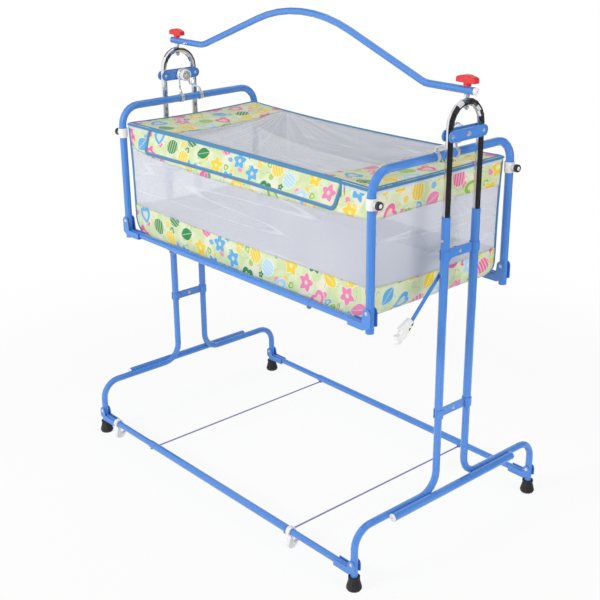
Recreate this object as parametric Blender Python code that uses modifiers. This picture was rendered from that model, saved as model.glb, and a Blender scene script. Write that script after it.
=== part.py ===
"""Rocking cradle on a tube stand: a fabric crib swings on two bearings between telescopic arches."""
import math

import bmesh
import bpy
from mathutils import Matrix, Vector

for old in list(bpy.data.objects):
    bpy.data.objects.remove(old, do_unlink=True)

# Driving dimensions in metres. +X is the right end, -Y the front, +Z up, origin on the floor
TUBE_R = 0.0095
LEG_R = 0.0085
BOW_R = 0.0080
WALL = 0.0010
SLIDE_GAP = 0.0005
GAP = 0.0003
SHEET = 0.0015
WELD = 0.00001

# Stand
END_X = 0.500
FOOT_Y = 0.305
UPRIGHT_Y = 0.048
FOOT_H = 0.033
FOOT_R = 0.0180
FOOT_TOP_R = 0.0136
FOOT_FLOOR = 0.006
RUN_Z = 0.146
LEG_BEND_R = 0.046
UPRIGHT_BEND_R = 0.048
BRACKET_H = 0.021
LOWER_BRACKET_Z = 0.340
MID_BRACKET_Z = 0.712
TUBE_TOP_Z = 0.796
NECK_LENGTH = 0.055
SPREADER_Y = 0.206
BASE_SLEEVE_X = 0.278
BRACKET_LIFT = 0.004
BASE_RIVET_RISE = 0.018
CHANNEL_LENGTH = 0.056

# Height adjustment
LOCK_HOLE_Z = 0.745
HOLE_PITCH = 0.078
BUTTON_R = 0.0030
BUTTON_TRAVEL = 0.0007

# Arches, bearings and bow bar
BEARING_Z = 0.9655
PLATE_H = 0.025
PLATE_T = 0.0025
ARCH_BOTTOM_Z = 0.600
BOW_STANDOFF = 0.0073
BOW_OVERHANG = 0.0215
BOW_PLUG_RISE = 0.0055
BOW_SHOULDER_X = 0.385
BOW_PEAK = 0.146
BOW_SHOULDER_R = 0.060
BOW_PEAK_R = 0.450
STUD_R = 0.0030
BOLT_R = 0.0040
HOUSING_R = 0.0158
HOUSING_LENGTH = 0.026
RACE_R = 0.0110
RACE_WIDTH = 0.0070
WIRE_R = 0.0025

# Crib
CRIB_INSET = 0.050
CRIB_Y = 0.218
HANG_DROP = 0.0535
CRIB_H = 0.330
CRIB_BEND_R = 0.048
CRIB_TAIL = 0.015
CRIB_SLEEVE_X = 0.267
CRIB_RIVET_RISE = 0.031
CLIP_Y = 0.031
CLAMP_DROP = 0.065
CLAMP_H = 0.024
CLAMP_WALL = 0.0022

# Fabric
CLOTH = 0.0030
NET = 0.0020
BASKET_RIM_RISE = 0.0095

# Values that follow from the driving dimensions
slim_r = TUBE_R - WALL - SLIDE_GAP
clear_hole = STUD_R + GAP
rail_z = FOOT_H + BRACKET_LIFT + SHEET + GAP + slim_r
leg_bottom = FOOT_FLOOR + GAP
tube_bottom = LOWER_BRACKET_Z - BRACKET_H / 2
arch_spring = BEARING_Z + PLATE_H * 0.65
arch_top = arch_spring + UPRIGHT_Y + slim_r
bow_z = arch_top + BOW_STANDOFF + BOW_R
bow_half = END_X + BOW_OVERHANG
plate_x = END_X - slim_r - GAP - PLATE_T
housing_outer = plate_x - GAP
housing_inner = housing_outer - HOUSING_LENGTH
crib_x = END_X - CRIB_INSET
crib_top = BEARING_Z - HANG_DROP
crib_rail_z = crib_top - CRIB_H
clamp_z = crib_top - CLAMP_DROP
clamp_r = TUBE_R + GAP + CLAMP_WALL

part = bpy.data.collections.new("swing_cradle")
tools = bpy.data.collections.new("cutters")
for each in (part, tools):
    bpy.context.scene.collection.children.link(each)


def paint(name, colour, roughness, metallic=0.0):
    made = bpy.data.materials.new(name)
    made.use_nodes = True
    shader = made.node_tree.nodes["Principled BSDF"]
    shader.inputs["Base Color"].default_value = (*colour, 1.0)
    shader.inputs["Roughness"].default_value = roughness
    shader.inputs["Metallic"].default_value = metallic
    made.diffuse_color = (*colour, 1.0)
    return made


blue_paint = paint("blue_paint", (0.10, 0.27, 0.68), 0.38)
chrome = paint("chrome", (0.78, 0.79, 0.80), 0.12, 1.0)
black_rubber = paint("black_rubber", (0.025, 0.025, 0.027), 0.80)
white_plastic = paint("white_plastic", (0.86, 0.86, 0.85), 0.42)
red_plastic = paint("red_plastic", (0.74, 0.05, 0.06), 0.35)
black_plastic = paint("black_plastic", (0.03, 0.03, 0.03), 0.45)
zinc_steel = paint("zinc_steel", (0.62, 0.63, 0.65), 0.35, 1.0)
print_cloth = paint("print_cloth", (0.70, 0.80, 0.48), 0.90)
net_cloth = paint("net_cloth", (0.80, 0.82, 0.86), 0.92)
pad_cloth = paint("pad_cloth", (0.66, 0.69, 0.78), 0.90)


# Building helpers
def pivot(name, place, parent=None):
    empty = bpy.data.objects.new(name, None)
    part.objects.link(empty)
    empty.location = place
    bpy.context.view_layer.update()
    if parent:
        hang(empty, parent)
    return empty


def hang(piece, parent):
    bpy.context.view_layer.update()
    piece.parent = parent
    piece.matrix_parent_inverse = parent.matrix_world.inverted()
    bpy.context.view_layer.update()


def bent_path(corners, radii, steps):
    """Points along straight runs whose inner corners are rounded to the given radii."""
    corners = [Vector(c) for c in corners]
    points = [corners[0]]
    for k in range(1, len(corners) - 1):
        come = (corners[k] - corners[k - 1]).normalized()
        leave = (corners[k + 1] - corners[k]).normalized()
        turn = come.angle(leave)
        setback = radii[k - 1] * math.tan(turn / 2)
        start = corners[k] - come * setback
        inward = (leave - come * come.dot(leave)).normalized()
        centre = start + inward * radii[k - 1]
        axis = come.cross(leave).normalized()
        count = steps[k - 1]
        for n in range(count + 1):
            place = centre + Matrix.Rotation(turn * n / count, 3, axis) @ (start - centre)
            if (place - points[-1]).length > WELD:
                points.append(place)
    if (corners[-1] - points[-1]).length > WELD:
        points.append(corners[-1])
    return points


def tube(name, points, radius, material, wall=0.0, level=3, scales=None):
    """A round tube along the points, with an open bore where a wall is given."""
    line = bpy.data.curves.new(name, "CURVE")
    line.dimensions = "3D"
    line.bevel_depth = radius
    line.bevel_resolution = level
    line.use_fill_caps = wall == 0
    spline = line.splines.new("POLY")
    spline.points.add(len(points) - 1)
    for k, place in enumerate(points):
        spline.points[k].co = Vector(place).to_4d()
        if scales:
            spline.points[k].radius = scales[k]
    line.materials.append(material)
    piece = bpy.data.objects.new(name, line)
    part.objects.link(piece)
    if wall:
        shell = piece.modifiers.new("wall", "SOLIDIFY")
        shell.thickness = wall
        shell.offset = -1
        shell.use_even_offset = True
    return piece


def outline_solid(name, outline, thickness, material, rotation=(0, 0, 0), place=(0, 0, 0), edge=0.0):
    """A flat outline given in its own XY plane, thickened evenly to both sides."""
    line = bpy.data.curves.new(name, "CURVE")
    line.dimensions = "2D"
    line.fill_mode = "BOTH"
    line.extrude = thickness / 2
    spline = line.splines.new("POLY")
    spline.points.add(len(outline) - 1)
    for k, (across, up) in enumerate(outline):
        spline.points[k].co = Vector((across, up, 0)).to_4d()
    spline.use_cyclic_u = True
    spline.use_smooth = False
    line.materials.append(material)
    piece = bpy.data.objects.new(name, line)
    piece.rotation_euler = rotation
    piece.location = place
    part.objects.link(piece)
    if edge:
        weld = piece.modifiers.new("weld", "WELD")
        weld.merge_threshold = WELD
        soften = piece.modifiers.new("soften", "BEVEL")
        soften.width = edge
        soften.segments = 1
        soften.limit_method = "ANGLE"
        soften.angle_limit = math.radians(50)
    return piece


def turned(name, profile, steps, material, axis=(0, 0, 1), place=(0, 0, 0)):
    """A turned shape. The profile holds (radius, height) pairs and runs down its outer side."""
    data = bpy.data.meshes.new(name)
    data.from_pydata([(r, 0, h) for r, h in profile],
                     [(k, k + 1) for k in range(len(profile) - 1)], [])
    data.materials.append(material)
    piece = bpy.data.objects.new(name, data)
    piece.rotation_euler = Vector(axis).to_track_quat("Z", "Y").to_euler()
    piece.location = place
    part.objects.link(piece)
    spin = piece.modifiers.new("turn", "SCREW")
    spin.axis = "Z"
    spin.steps = steps
    spin.render_steps = steps
    spin.use_merge_vertices = True
    spin.merge_threshold = WELD
    spin.use_smooth_shade = True
    return piece


def ring(profile):
    return list(profile) + [profile[0]]


def as_mesh(piece):
    """The evaluated piece as a plain mesh object with its loose caps welded."""
    bpy.context.view_layer.update()
    graph = bpy.context.evaluated_depsgraph_get()
    name = piece.name
    data = bpy.data.meshes.new_from_object(piece.evaluated_get(graph))
    build = bmesh.new()
    build.from_mesh(data)
    bmesh.ops.remove_doubles(build, verts=build.verts, dist=WELD)
    build.to_mesh(data)
    build.free()
    world = piece.matrix_world.copy()
    piece.name = name + "_curve"
    made = bpy.data.objects.new(name, data)
    made.matrix_world = world
    part.objects.link(made)
    bpy.data.objects.remove(piece, do_unlink=True)
    bpy.context.view_layer.update()
    return made


def store_cutter(cutter):
    for place in list(cutter.users_collection):
        place.objects.unlink(cutter)
    tools.objects.link(cutter)
    cutter.hide_render = True
    cutter.display_type = "WIRE"
    return cutter


def combine(piece, cutter, operation="DIFFERENCE"):
    step = piece.modifiers.new(cutter.name, "BOOLEAN")
    step.operation = operation
    step.solver = "EXACT"
    step.object = store_cutter(cutter)
    return piece


def round_cutter(name, radius, length, axis, place, steps=10):
    build = bmesh.new()
    bmesh.ops.create_cone(build, cap_ends=True, segments=steps, radius1=radius, radius2=radius,
                          depth=length)
    data = bpy.data.meshes.new(name)
    build.to_mesh(data)
    build.free()
    cutter = bpy.data.objects.new(name, data)
    cutter.rotation_euler = Vector(axis).to_track_quat("Z", "Y").to_euler()
    cutter.location = place
    part.objects.link(cutter)
    return cutter


def box(name, size, place, material=None, rotation=(0, 0, 0), edge=0.0, segments=1):
    build = bmesh.new()
    bmesh.ops.create_cube(build, size=1.0)
    bmesh.ops.scale(build, vec=size, verts=build.verts)
    data = bpy.data.meshes.new(name)
    build.to_mesh(data)
    build.free()
    piece = bpy.data.objects.new(name, data)
    piece.rotation_euler = rotation
    piece.location = place
    part.objects.link(piece)
    if material:
        data.materials.append(material)
    if edge:
        soften = piece.modifiers.new("soften", "BEVEL")
        soften.width = edge
        soften.segments = segments
    return piece


def arc(centre, radius, start, end, count):
    """Points on a circle between two angles in degrees, both ends included."""
    turns = [math.radians(start + (end - start) * k / count) for k in range(count + 1)]
    return [(centre[0] + radius * math.cos(a), centre[1] + radius * math.sin(a)) for a in turns]


def loft(name, rings, material):
    """A closed solid through rings of equal point count, capped at both ends."""
    build = bmesh.new()
    rows = [[build.verts.new(p) for p in points] for points in rings]
    count = len(rows[0])
    for low, high in zip(rows, rows[1:]):
        for k in range(count):
            n = (k + 1) % count
            build.faces.new((low[k], low[n], high[n], high[k]))
    build.faces.new(list(reversed(rows[0])))
    build.faces.new(rows[-1])
    bmesh.ops.recalc_face_normals(build, faces=build.faces)
    data = bpy.data.meshes.new(name)
    build.to_mesh(data)
    build.free()
    data.materials.append(material)
    piece = bpy.data.objects.new(name, data)
    part.objects.link(piece)
    return piece


def bore(radius, steps=12):
    """A many-sided bore that still clears a round piece of the given radius."""
    return (radius + GAP) / math.cos(math.pi / steps)


SIDES = (("left", -1), ("right", 1))
DEPTHS = (("front", -1), ("rear", 1))
height_slide = pivot("height_slide_axis", (0, 0, TUBE_TOP_Z))
swing_axis = pivot("swing_axis", (0, 0, BEARING_Z), height_slide)
across_y = (math.pi / 2, 0, math.pi / 2)
weld_depth = WALL * 0.8
rivet_r = STUD_R * 1.35
shank_r = STUD_R * 0.8
head_h = rivet_r * 0.62
sink = GAP


def rivet(name, place, axis, low, high):
    """A dome-headed rivet whose heads sit at the low and the high seat along its axis."""
    rim = head_h * 0.15
    return turned(name, [
        (0, high + head_h), (rivet_r * 0.7, high + head_h * 0.7), (rivet_r, high + rim),
        (rivet_r, high - sink), (shank_r, high - sink), (shank_r, low + sink), (rivet_r, low + sink),
        (rivet_r, low - rim), (rivet_r * 0.7, low - head_h * 0.7), (0, low - head_h)], 6, zinc_steel,
        axis=axis, place=place)


def head(name, place, axis, seat):
    """A dome head sunk a little into the face that it sits on."""
    rim = head_h * 0.15
    return turned(name, [
        (0, seat + head_h), (rivet_r * 0.7, seat + head_h * 0.7), (rivet_r, seat + rim),
        (rivet_r, seat - sink * 2), (0, seat - sink * 2)], 6, zinc_steel, axis=axis, place=place)


def plug(name, radius, lip, axis, place):
    """A push-in tube plug with a domed lip and a small vent."""
    stem, vent = radius * 0.8, radius * 0.2
    rim, skirt = radius + GAP, -WALL / 2
    return turned(name, ring([
        (vent, lip), (radius * 0.6, lip), (radius * 0.9, lip * 0.75), (rim, lip * 0.3), (rim, skirt),
        (stem, skirt), (stem, -radius / 2), (vent, -radius / 2)]), 8, white_plastic, axis=axis, place=place)


# End frames of the stand: two bent leg tubes with swaged necks, welded to a spreader tube
neck_share = slim_r / LEG_R
plug_lip = WALL * 2
spreader_x = END_X + LEG_R + TUBE_R - weld_depth
for side, s in SIDES:
    legs = []
    for depth, q in DEPTHS:
        x = s * END_X
        path = bent_path([(x, q * FOOT_Y, leg_bottom), (x, q * FOOT_Y, RUN_Z), (x, q * UPRIGHT_Y, RUN_Z),
                          (x, q * UPRIGHT_Y, tube_bottom - GAP)], [LEG_BEND_R, UPRIGHT_BEND_R], [6, 6])
        sizes = [1.0] * len(path) + [neck_share, neck_share]
        path += [Vector((x, q * UPRIGHT_Y, tube_bottom)),
                 Vector((x, q * UPRIGHT_Y, tube_bottom + NECK_LENGTH))]
        legs.append(as_mesh(tube(f"leg_{depth}_{side}", path, LEG_R, blue_paint, WALL, scales=sizes)))
    frame, rear_leg = legs
    frame.name = f"leg_frame_{side}"
    spreader = as_mesh(tube(f"spreader_{side}", [(s * spreader_x, -SPREADER_Y, RUN_Z),
                                                 (s * spreader_x, SPREADER_Y, RUN_Z)],
                            TUBE_R, blue_paint, WALL))
    combine(frame, rear_leg, "UNION")
    combine(frame, spreader, "UNION")
    for depth, q in DEPTHS:
        combine(frame, plug(f"spreader_plug_{depth}_{side}", TUBE_R, plug_lip, (0, q, 0),
                            (s * spreader_x, q * SPREADER_Y, RUN_Z)), "UNION")
        combine(frame, round_cutter(f"leg_hole_{depth}_{side}", bore(shank_r, 6), FOOT_R * 2, (0, 1, 0),
                                    (s * END_X, q * FOOT_Y, rail_z + BASE_RIVET_RISE), 6))

# Rubber feet: tapered cups with a rolled collar, a pocket for the leg and a flat sole
collar_h = FOOT_H * 0.14
sole_edge = FOOT_R * 0.12
pocket_r = bore(LEG_R)
for side, s in SIDES:
    for depth, q in DEPTHS:
        turned(f"rubber_foot_{depth}_{side}", [
            (0, FOOT_FLOOR), (pocket_r, FOOT_FLOOR), (pocket_r, FOOT_H), (FOOT_TOP_R, FOOT_H),
            (FOOT_TOP_R, FOOT_H - collar_h), ((pocket_r + FOOT_TOP_R * 3) / 4, FOOT_H - collar_h * 1.4),
            (FOOT_R, sole_edge * 2.2), (FOOT_R - sole_edge, 0), (0, 0)], 12, black_rubber,
            place=(s * END_X, q * FOOT_Y, 0))

# Upper stand tubes, whose open rims take the arches
hole_r = BUTTON_R + GAP
for side, s in SIDES:
    for depth, q in DEPTHS:
        x, y = s * END_X, q * UPRIGHT_Y
        upper = tube(f"upper_tube_{depth}_{side}", [(x, y, tube_bottom), (x, y, TUBE_TOP_Z)], TUBE_R,
                     blue_paint, WALL)
        if q < 0:
            upper = as_mesh(upper)
            for k in range(2):
                combine(upper, round_cutter(f"lock_hole_{side}_{k}", hole_r, TUBE_R * 2, (0, 1, 0),
                                            (x, y - TUBE_R, LOCK_HOLE_Z - k * HOLE_PITCH), 8))

# Spring buttons in the upper lock holes, pressed inward to free the height slide
button_base = TUBE_R - WALL + BUTTON_TRAVEL
button_h = WALL + BUTTON_TRAVEL * 1.4
for side, s in SIDES:
    place = (s * END_X, -UPRIGHT_Y - button_base, LOCK_HOLE_Z)
    axis = pivot(f"button_{side}_axis", place)
    hang(turned(f"height_button_{side}", [
        (0, button_h), (BUTTON_R * 0.7, button_h * 0.86), (BUTTON_R, button_h * 0.5), (BUTTON_R, 0), (0, 0)],
        8, zinc_steel, axis=(0, -1, 0), place=place), axis)

# Clasp brackets: two pressed strips that grip both uprights and lie together between them
wrap_angle = 62
strip_r = TUBE_R + GAP + SHEET / 2
strip_mid = SHEET * 0.45
meet_angle = math.degrees(math.acos(strip_mid / strip_r))
strip_face = strip_mid + SHEET / 2


def strip(name, x, z, outward):
    front = [(outward * a, b) for a, b in arc((0, -UPRIGHT_Y), strip_r, -wrap_angle, meet_angle, 6)]
    line = front + [(a, -b) for a, b in reversed(front)]
    build = bmesh.new()
    verts = [build.verts.new((x + a, b, z - BRACKET_H / 2)) for a, b in line]
    edges = [build.edges.new(pair) for pair in zip(verts, verts[1:])]
    raised = bmesh.ops.extrude_edge_only(build, edges=edges)
    top = [v for v in raised["geom"] if isinstance(v, bmesh.types.BMVert)]
    bmesh.ops.translate(build, verts=top, vec=(0, 0, BRACKET_H))
    data = bpy.data.meshes.new(name)
    build.to_mesh(data)
    build.free()
    data.materials.append(blue_paint)
    piece = bpy.data.objects.new(name, data)
    part.objects.link(piece)
    shell = piece.modifiers.new("sheet", "SOLIDIFY")
    shell.thickness = SHEET
    shell.offset = 0
    shell.use_even_offset = True
    return piece


for side, s in SIDES:
    for name, z in (("lower_bracket", LOWER_BRACKET_Z), ("mid_bracket", MID_BRACKET_Z)):
        clasp = strip(f"{name}_{side}", s * END_X, z, s)
        inner_strip = strip(f"{name}_inner_{side}", s * END_X, z, -s)
        combine(clasp, inner_strip, "UNION")
        if s > 0 and z == MID_BRACKET_Z:
            combine(clasp, round_cutter("pivot_hole", clear_hole, TUBE_R * 4, (1, 0, 0), (END_X, 0, z), 8))
        else:
            combine(clasp, rivet(f"{name}_rivet_{side}", (s * END_X, 0, z), (s, 0, 0), -strip_face,
                                 strip_face), "UNION")


# Folding rails: a sleeve tube with slimmer ends, and a pressed channel bracket on each end.
# The channel lies under the rail, and its ears reach up beside the post to a rivet through it
def rail(name, y, z, sleeve_x, post_x, post_r, rise):
    rail_end = post_x - post_r - GAP
    step = WALL
    slim = slim_r / TUBE_R
    path = [(-rail_end, y, z), (-sleeve_x - step, y, z), (-sleeve_x, y, z), (sleeve_x, y, z),
            (sleeve_x + step, y, z), (rail_end, y, z)]
    made = as_mesh(tube(name, path, TUBE_R, blue_paint, WALL, scales=[slim, slim, 1, 1, slim, slim]))
    half = post_r + GAP
    low = -slim_r + weld_depth
    ear_r = post_r * 1.2
    lip = slim_r * 0.9
    reach = CHANNEL_LENGTH
    outline = [(-reach, low), (-half, low), (ear_r, low + slim_r)]
    outline += arc((0, rise), ear_r, 0, 150, 4)
    outline += [(-ear_r * 1.2, lip), (-reach, lip)]
    for side, s in SIDES:
        frame = [(a, b) for a, b in outline]
        build = bmesh.new()
        near = [build.verts.new((s * a, -s * half, b)) for a, b in frame]
        far = [build.verts.new((s * a, s * half, b)) for a, b in frame]
        build.faces.new(near)
        build.faces.new(reversed(far))
        build.faces.new((near[0], far[0], far[1], near[1]))
        data = bpy.data.meshes.new(f"{name}_channel_{side}")
        build.to_mesh(data)
        build.free()
        bracket = bpy.data.objects.new(f"{name}_channel_{side}", data)
        bracket.location = (s * post_x, y, z)
        part.objects.link(bracket)
        shell = bracket.modifiers.new("sheet", "SOLIDIFY")
        shell.thickness = SHEET
        shell.offset = 1
        shell.use_even_offset = True
        combine(made, bracket, "UNION")
        seat = half + SHEET
        combine(made, rivet(f"{name}_rivet_{side}", (s * post_x, y, z + rise), (0, 1, 0), -seat, seat),
                "UNION")
    return made


for depth, q in DEPTHS:
    rail(f"base_rail_{depth}", q * FOOT_Y, rail_z, BASE_SLEEVE_X, END_X, LEG_R, BASE_RIVET_RISE)

# Tie wires under the rails, with a flat eye and a bolt head at each end
tie_r = WIRE_R * 0.8
eye_r = rivet_r * 1.35
eye_t = SHEET * 2
tie_inset = eye_r + GAP


def tie(name, path, x, y, z):
    wire = as_mesh(tube(name, path, tie_r, zinc_steel, level=2))
    for depth, q in DEPTHS:
        place = (x, q * y, z)
        combine(wire, round_cutter(f"{name}_eye_{depth}", eye_r, eye_t, (0, 0, 1), place, 10), "UNION")
        combine(wire, head(f"{name}_bolt_{depth}", place, (0, 0, -1), eye_t / 2), "UNION")
    return wire


base_tie_x = BASE_SLEEVE_X - tie_inset
base_tie_z = rail_z - TUBE_R - GAP - eye_t / 2
for side, s in SIDES:
    x = s * base_tie_x
    tie(f"base_tie_{side}", [(x, -FOOT_Y, base_tie_z), (x, FOOT_Y, base_tie_z)], x, FOOT_Y, base_tie_z)

# Swing lock: a flat arm on a bolt through the right mid bracket, with a clawed plastic paw
arm_t = SHEET * 1.6
arm_half = TUBE_R * 0.53
arm_x = END_X - strip_r - SHEET / 2 - GAP - arm_t / 2
arm_tilt = math.radians(225)
arm_length = 0.205
paw_t = 0.0110
paw_overlap = 0.022
paw_start = arm_length - paw_overlap
paw_length = 0.0645
paw_half = 0.0145
paw_reach_shares = ((0.00, -0.64), (0.00, 0.62), (0.12, 0.80), (0.53, 1.46), (0.56, 0.92), (0.65, 0.72),
                    (0.80, 1.42), (0.88, 0.70), (1.00, 0.18), (0.86, -0.46), (0.60, -0.70), (0.12, -0.70))
lock_axis = pivot("lock_axis", (arm_x, 0, MID_BRACKET_Z))
arm_outline = arc((0, 0), arm_half * 1.35, 40, 320, 7) + [(arm_length, -arm_half), (arm_length, arm_half)]


def turn_outline(outline, angle):
    c, n = math.cos(angle), math.sin(angle)
    return [(a * c - b * n, a * n + b * c) for a, b in outline]


arm = as_mesh(outline_solid("lock_arm", turn_outline(arm_outline, arm_tilt), arm_t, blue_paint, across_y,
                            (arm_x, 0, MID_BRACKET_Z)))
combine(arm, round_cutter("arm_hole", clear_hole, arm_t * 3, (1, 0, 0), (arm_x, 0, MID_BRACKET_Z), 8))
paw_outline = [(paw_start + a * paw_length, -b * paw_half) for a, b in paw_reach_shares]
paw_x = arm_x + arm_t / 2 + GAP + SHEET - paw_t / 2
paw = as_mesh(outline_solid("lock_paw", turn_outline(paw_outline, arm_tilt), paw_t, white_plastic, across_y,
                            (paw_x, 0, MID_BRACKET_Z), edge=SHEET))
socket_length = paw_overlap + GAP
along = Vector((0, math.cos(arm_tilt), math.sin(arm_tilt)))
socket = box("paw_socket", (arm_t + 2 * GAP, socket_length * 2, 2 * (arm_half + GAP)),
             Vector((arm_x, 0, MID_BRACKET_Z)) + along * paw_start, rotation=(arm_tilt, 0, 0))
combine(paw, socket)
for piece in (arm, paw):
    hang(piece, lock_axis)

# Pivot bolt of the swing lock, with a shoulder that holds the arm off the bracket
outer_seat = strip_face + GAP
arm_outer = END_X - arm_x - arm_t / 2 - GAP
arm_inner = END_X - arm_x + arm_t / 2 + GAP
shoulder_r = rivet_r * 1.3
turned("lock_pivot_bolt", [
    (0, outer_seat + head_h), (rivet_r * 0.7, outer_seat + head_h * 0.65), (rivet_r, outer_seat),
    (STUD_R, outer_seat), (STUD_R, -outer_seat), (shoulder_r, -outer_seat), (shoulder_r, -arm_outer),
    (STUD_R, -arm_outer), (STUD_R, -arm_inner), (rivet_r, -arm_inner),
    (rivet_r * 0.7, -arm_inner - head_h * 0.65), (0, -arm_inner - head_h)], 10, zinc_steel, axis=(1, 0, 0),
    place=(END_X, 0, MID_BRACKET_Z))

# Hooks that hang on the front rail: a ring with a beaked claw below
hook_w = 0.011
hook_ring = slim_r + SLIDE_GAP
hook_wall = 0.0038
hook_drop = 0.0435
claw_r = 0.0085
hook_inset = 0.0640
hook_places = {"left": hook_inset - END_X, "right": 0.2900}
claw_shares = ((-0.45, 0.00), (0.45, 0.00), (0.50, -0.95), (1.05, -1.35), (2.55, -0.95), (1.60, -2.10),
               (0.70, -2.65), (-0.50, -2.65), (-1.25, -1.95), (-1.15, -1.05))
claw_top = -hook_drop + claw_r * 2.65
for side, x in hook_places.items():
    place = (x, -FOOT_Y, rail_z)
    axis = pivot(f"hook_{side}_axis", place)
    band = turned(f"hook_{side}", ring([
        (hook_ring + hook_wall, hook_w / 2), (hook_ring + hook_wall, -hook_w / 2), (hook_ring, -hook_w / 2),
        (hook_ring, hook_w / 2)]), 12, white_plastic, axis=(1, 0, 0), place=place)
    neck = -hook_ring - hook_wall * 0.5
    outline = [(a * claw_r, claw_top + b * claw_r) for a, b in claw_shares]
    outline[0] = (outline[0][0], neck)
    outline[1] = (outline[1][0], neck)
    combine(band, as_mesh(outline_solid(f"claw_{side}", outline, hook_w * 0.92, white_plastic, across_y,
                                        place)), "UNION")
    hang(band, axis)

# Chrome arches that slide in the upper tubes
ARCH_STEPS = 10
for side, s in SIDES:
    x = s * END_X
    bend = [Vector((x, a, b)) for a, b in arc((0, arch_spring), UPRIGHT_Y, 180, 0, ARCH_STEPS)]
    path = [Vector((x, -UPRIGHT_Y, ARCH_BOTTOM_Z))] + bend + [Vector((x, UPRIGHT_Y, ARCH_BOTTOM_Z))]
    arch = as_mesh(tube(f"arch_{side}", path, slim_r, chrome, WALL))
    combine(arch, round_cutter(f"arch_hole_{side}", clear_hole, TUBE_R * 4, (0, 0, 1), (x, 0, arch_top), 8))
    for depth, q in DEPTHS:
        combine(arch, round_cutter(f"arch_rivet_hole_{depth}_{side}", bore(shank_r, 6), TUBE_R * 4,
                                   (1, 0, 0), (x, q * UPRIGHT_Y, BEARING_Z), 6))
    hang(arch, height_slide)

# Bow bar across the top, with a plug in each end
bow_path = bent_path([(-bow_half, 0, bow_z), (-BOW_SHOULDER_X, 0, bow_z), (0, 0, bow_z + BOW_PEAK),
                      (BOW_SHOULDER_X, 0, bow_z), (bow_half, 0, bow_z)],
                     [BOW_SHOULDER_R, BOW_PEAK_R, BOW_SHOULDER_R], [2, 8, 2])
bow = as_mesh(tube("bow_bar", bow_path, BOW_R, blue_paint, WALL))
for side, s in SIDES:
    combine(bow, plug(f"bow_plug_{side}", BOW_R, BOW_PLUG_RISE, (s, 0, 0), (s * bow_half, 0, bow_z)),
            "UNION")
    combine(bow, round_cutter(f"bow_hole_{side}", clear_hole, TUBE_R * 4, (0, 0, 1),
                              (s * END_X, 0, bow_z), 8))
hang(bow, height_slide)

# Upright bolts that join arch and bow bar, with a nut under the arch and a lock nut between
nut_r = STUD_R * 1.9
nut_h = STUD_R * 1.5
knob_bottom = bow_z + BOW_R + GAP
knob_h = 0.0225
nut_drop = nut_r * math.tan(math.pi / ARCH_STEPS / 2)
arch_low = arch_top - 2 * slim_r - nut_drop
bolt_top = knob_bottom + knob_h * 0.72
for side, s in SIDES:
    hang(turned(f"arch_bolt_{side}", [
        (0, bolt_top), (STUD_R, bolt_top), (STUD_R, bow_z - BOW_R - GAP), (nut_r, bow_z - BOW_R - GAP),
        (nut_r, arch_top + GAP), (STUD_R, arch_top + GAP), (STUD_R, arch_low - GAP), (nut_r, arch_low - GAP),
        (nut_r, arch_low - GAP - nut_h), (STUD_R, arch_low - GAP - nut_h),
        (STUD_R, arch_low - GAP - nut_h * 1.7), (0, arch_low - GAP - nut_h * 1.7)], 10, zinc_steel,
        place=(s * END_X, 0, 0)), height_slide)

# Red wing knobs on the bolts, each a grip on a round stem
knob_half = 0.0255
knob_t = 0.0160
stem_r = 0.0085
stem_h = 0.0065
knob_gap = GAP * 2
grip_shares = ((-1.00, 0.00), (1.00, 0.00), (1.00, 0.62), (0.80, 0.78), (0.25, 1.00), (-0.25, 1.00),
               (-0.80, 0.78), (-1.00, 0.62))
for side, s in SIDES:
    axis = pivot(f"wing_knob_{side}_axis", (s * END_X, 0, knob_bottom), height_slide)
    grip_h = knob_h - stem_h
    outline = [(a * knob_half, stem_h + b * grip_h) for a, b in grip_shares]
    knob = as_mesh(outline_solid(f"wing_knob_{side}", outline, knob_t, red_plastic, (math.pi / 2, 0, 0),
                                 (s * END_X, 0, knob_bottom), edge=knob_t * 0.12))
    combine(knob, round_cutter(f"knob_stem_{side}", stem_r, stem_h + SHEET, (0, 0, 1),
                               (s * END_X, 0, knob_bottom + (stem_h + SHEET) / 2), 12), "UNION")
    combine(knob, round_cutter(f"knob_bore_{side}", STUD_R + knob_gap, knob_h * 1.5, (0, 0, 1),
                               (s * END_X, 0, knob_bottom), 8))
    hang(knob, axis)

# Bearing carriers: rounded plates with a raised rim on both faces of the arch legs, riveted through
plate_half = PLATE_H / 2
rim_w = PLATE_T
seat_step = PLATE_T * 0.1
outer_plate_x = END_X + slim_r + GAP + PLATE_T / 2
inner_plate_x = END_X - slim_r - GAP - PLATE_T / 2


def stadium(half, radius, count):
    return arc((half, 0), radius, -90, 90, count) + arc((-half, 0), radius, 90, 270, count)


def plate(name, x, face):
    """A plate whose rim stands up on the side that it faces."""
    back, web, top = x - face * PLATE_T / 2, x + face * seat_step, x + face * PLATE_T / 2
    full, open_side = stadium(UPRIGHT_Y, plate_half, 6), stadium(UPRIGHT_Y, plate_half - rim_w, 6)
    layers = ((full, back), (full, top), (open_side, top), (open_side, web))
    rings = [[Vector((place, a, BEARING_Z + b)) for a, b in outline] for outline, place in layers]
    return loft(name, rings, blue_paint)


for side, s in SIDES:
    carrier = plate(f"bearing_carrier_{side}", s * outer_plate_x, s)
    combine(carrier, plate(f"inner_plate_{side}", s * inner_plate_x, -s), "UNION")
    for depth, q in DEPTHS:
        combine(carrier, rivet(f"plate_rivet_{depth}_{side}", (s * END_X, q * UPRIGHT_Y, BEARING_Z),
                               (s, 0, 0), inner_plate_x - seat_step - END_X,
                               outer_plate_x + seat_step - END_X), "UNION")
    combine(carrier, round_cutter(f"carrier_hole_{side}", BOLT_R + GAP, PLATE_H * 2, (1, 0, 0),
                                  (s * END_X, 0, BEARING_Z), 10))
    hang(carrier, height_slide)

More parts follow.
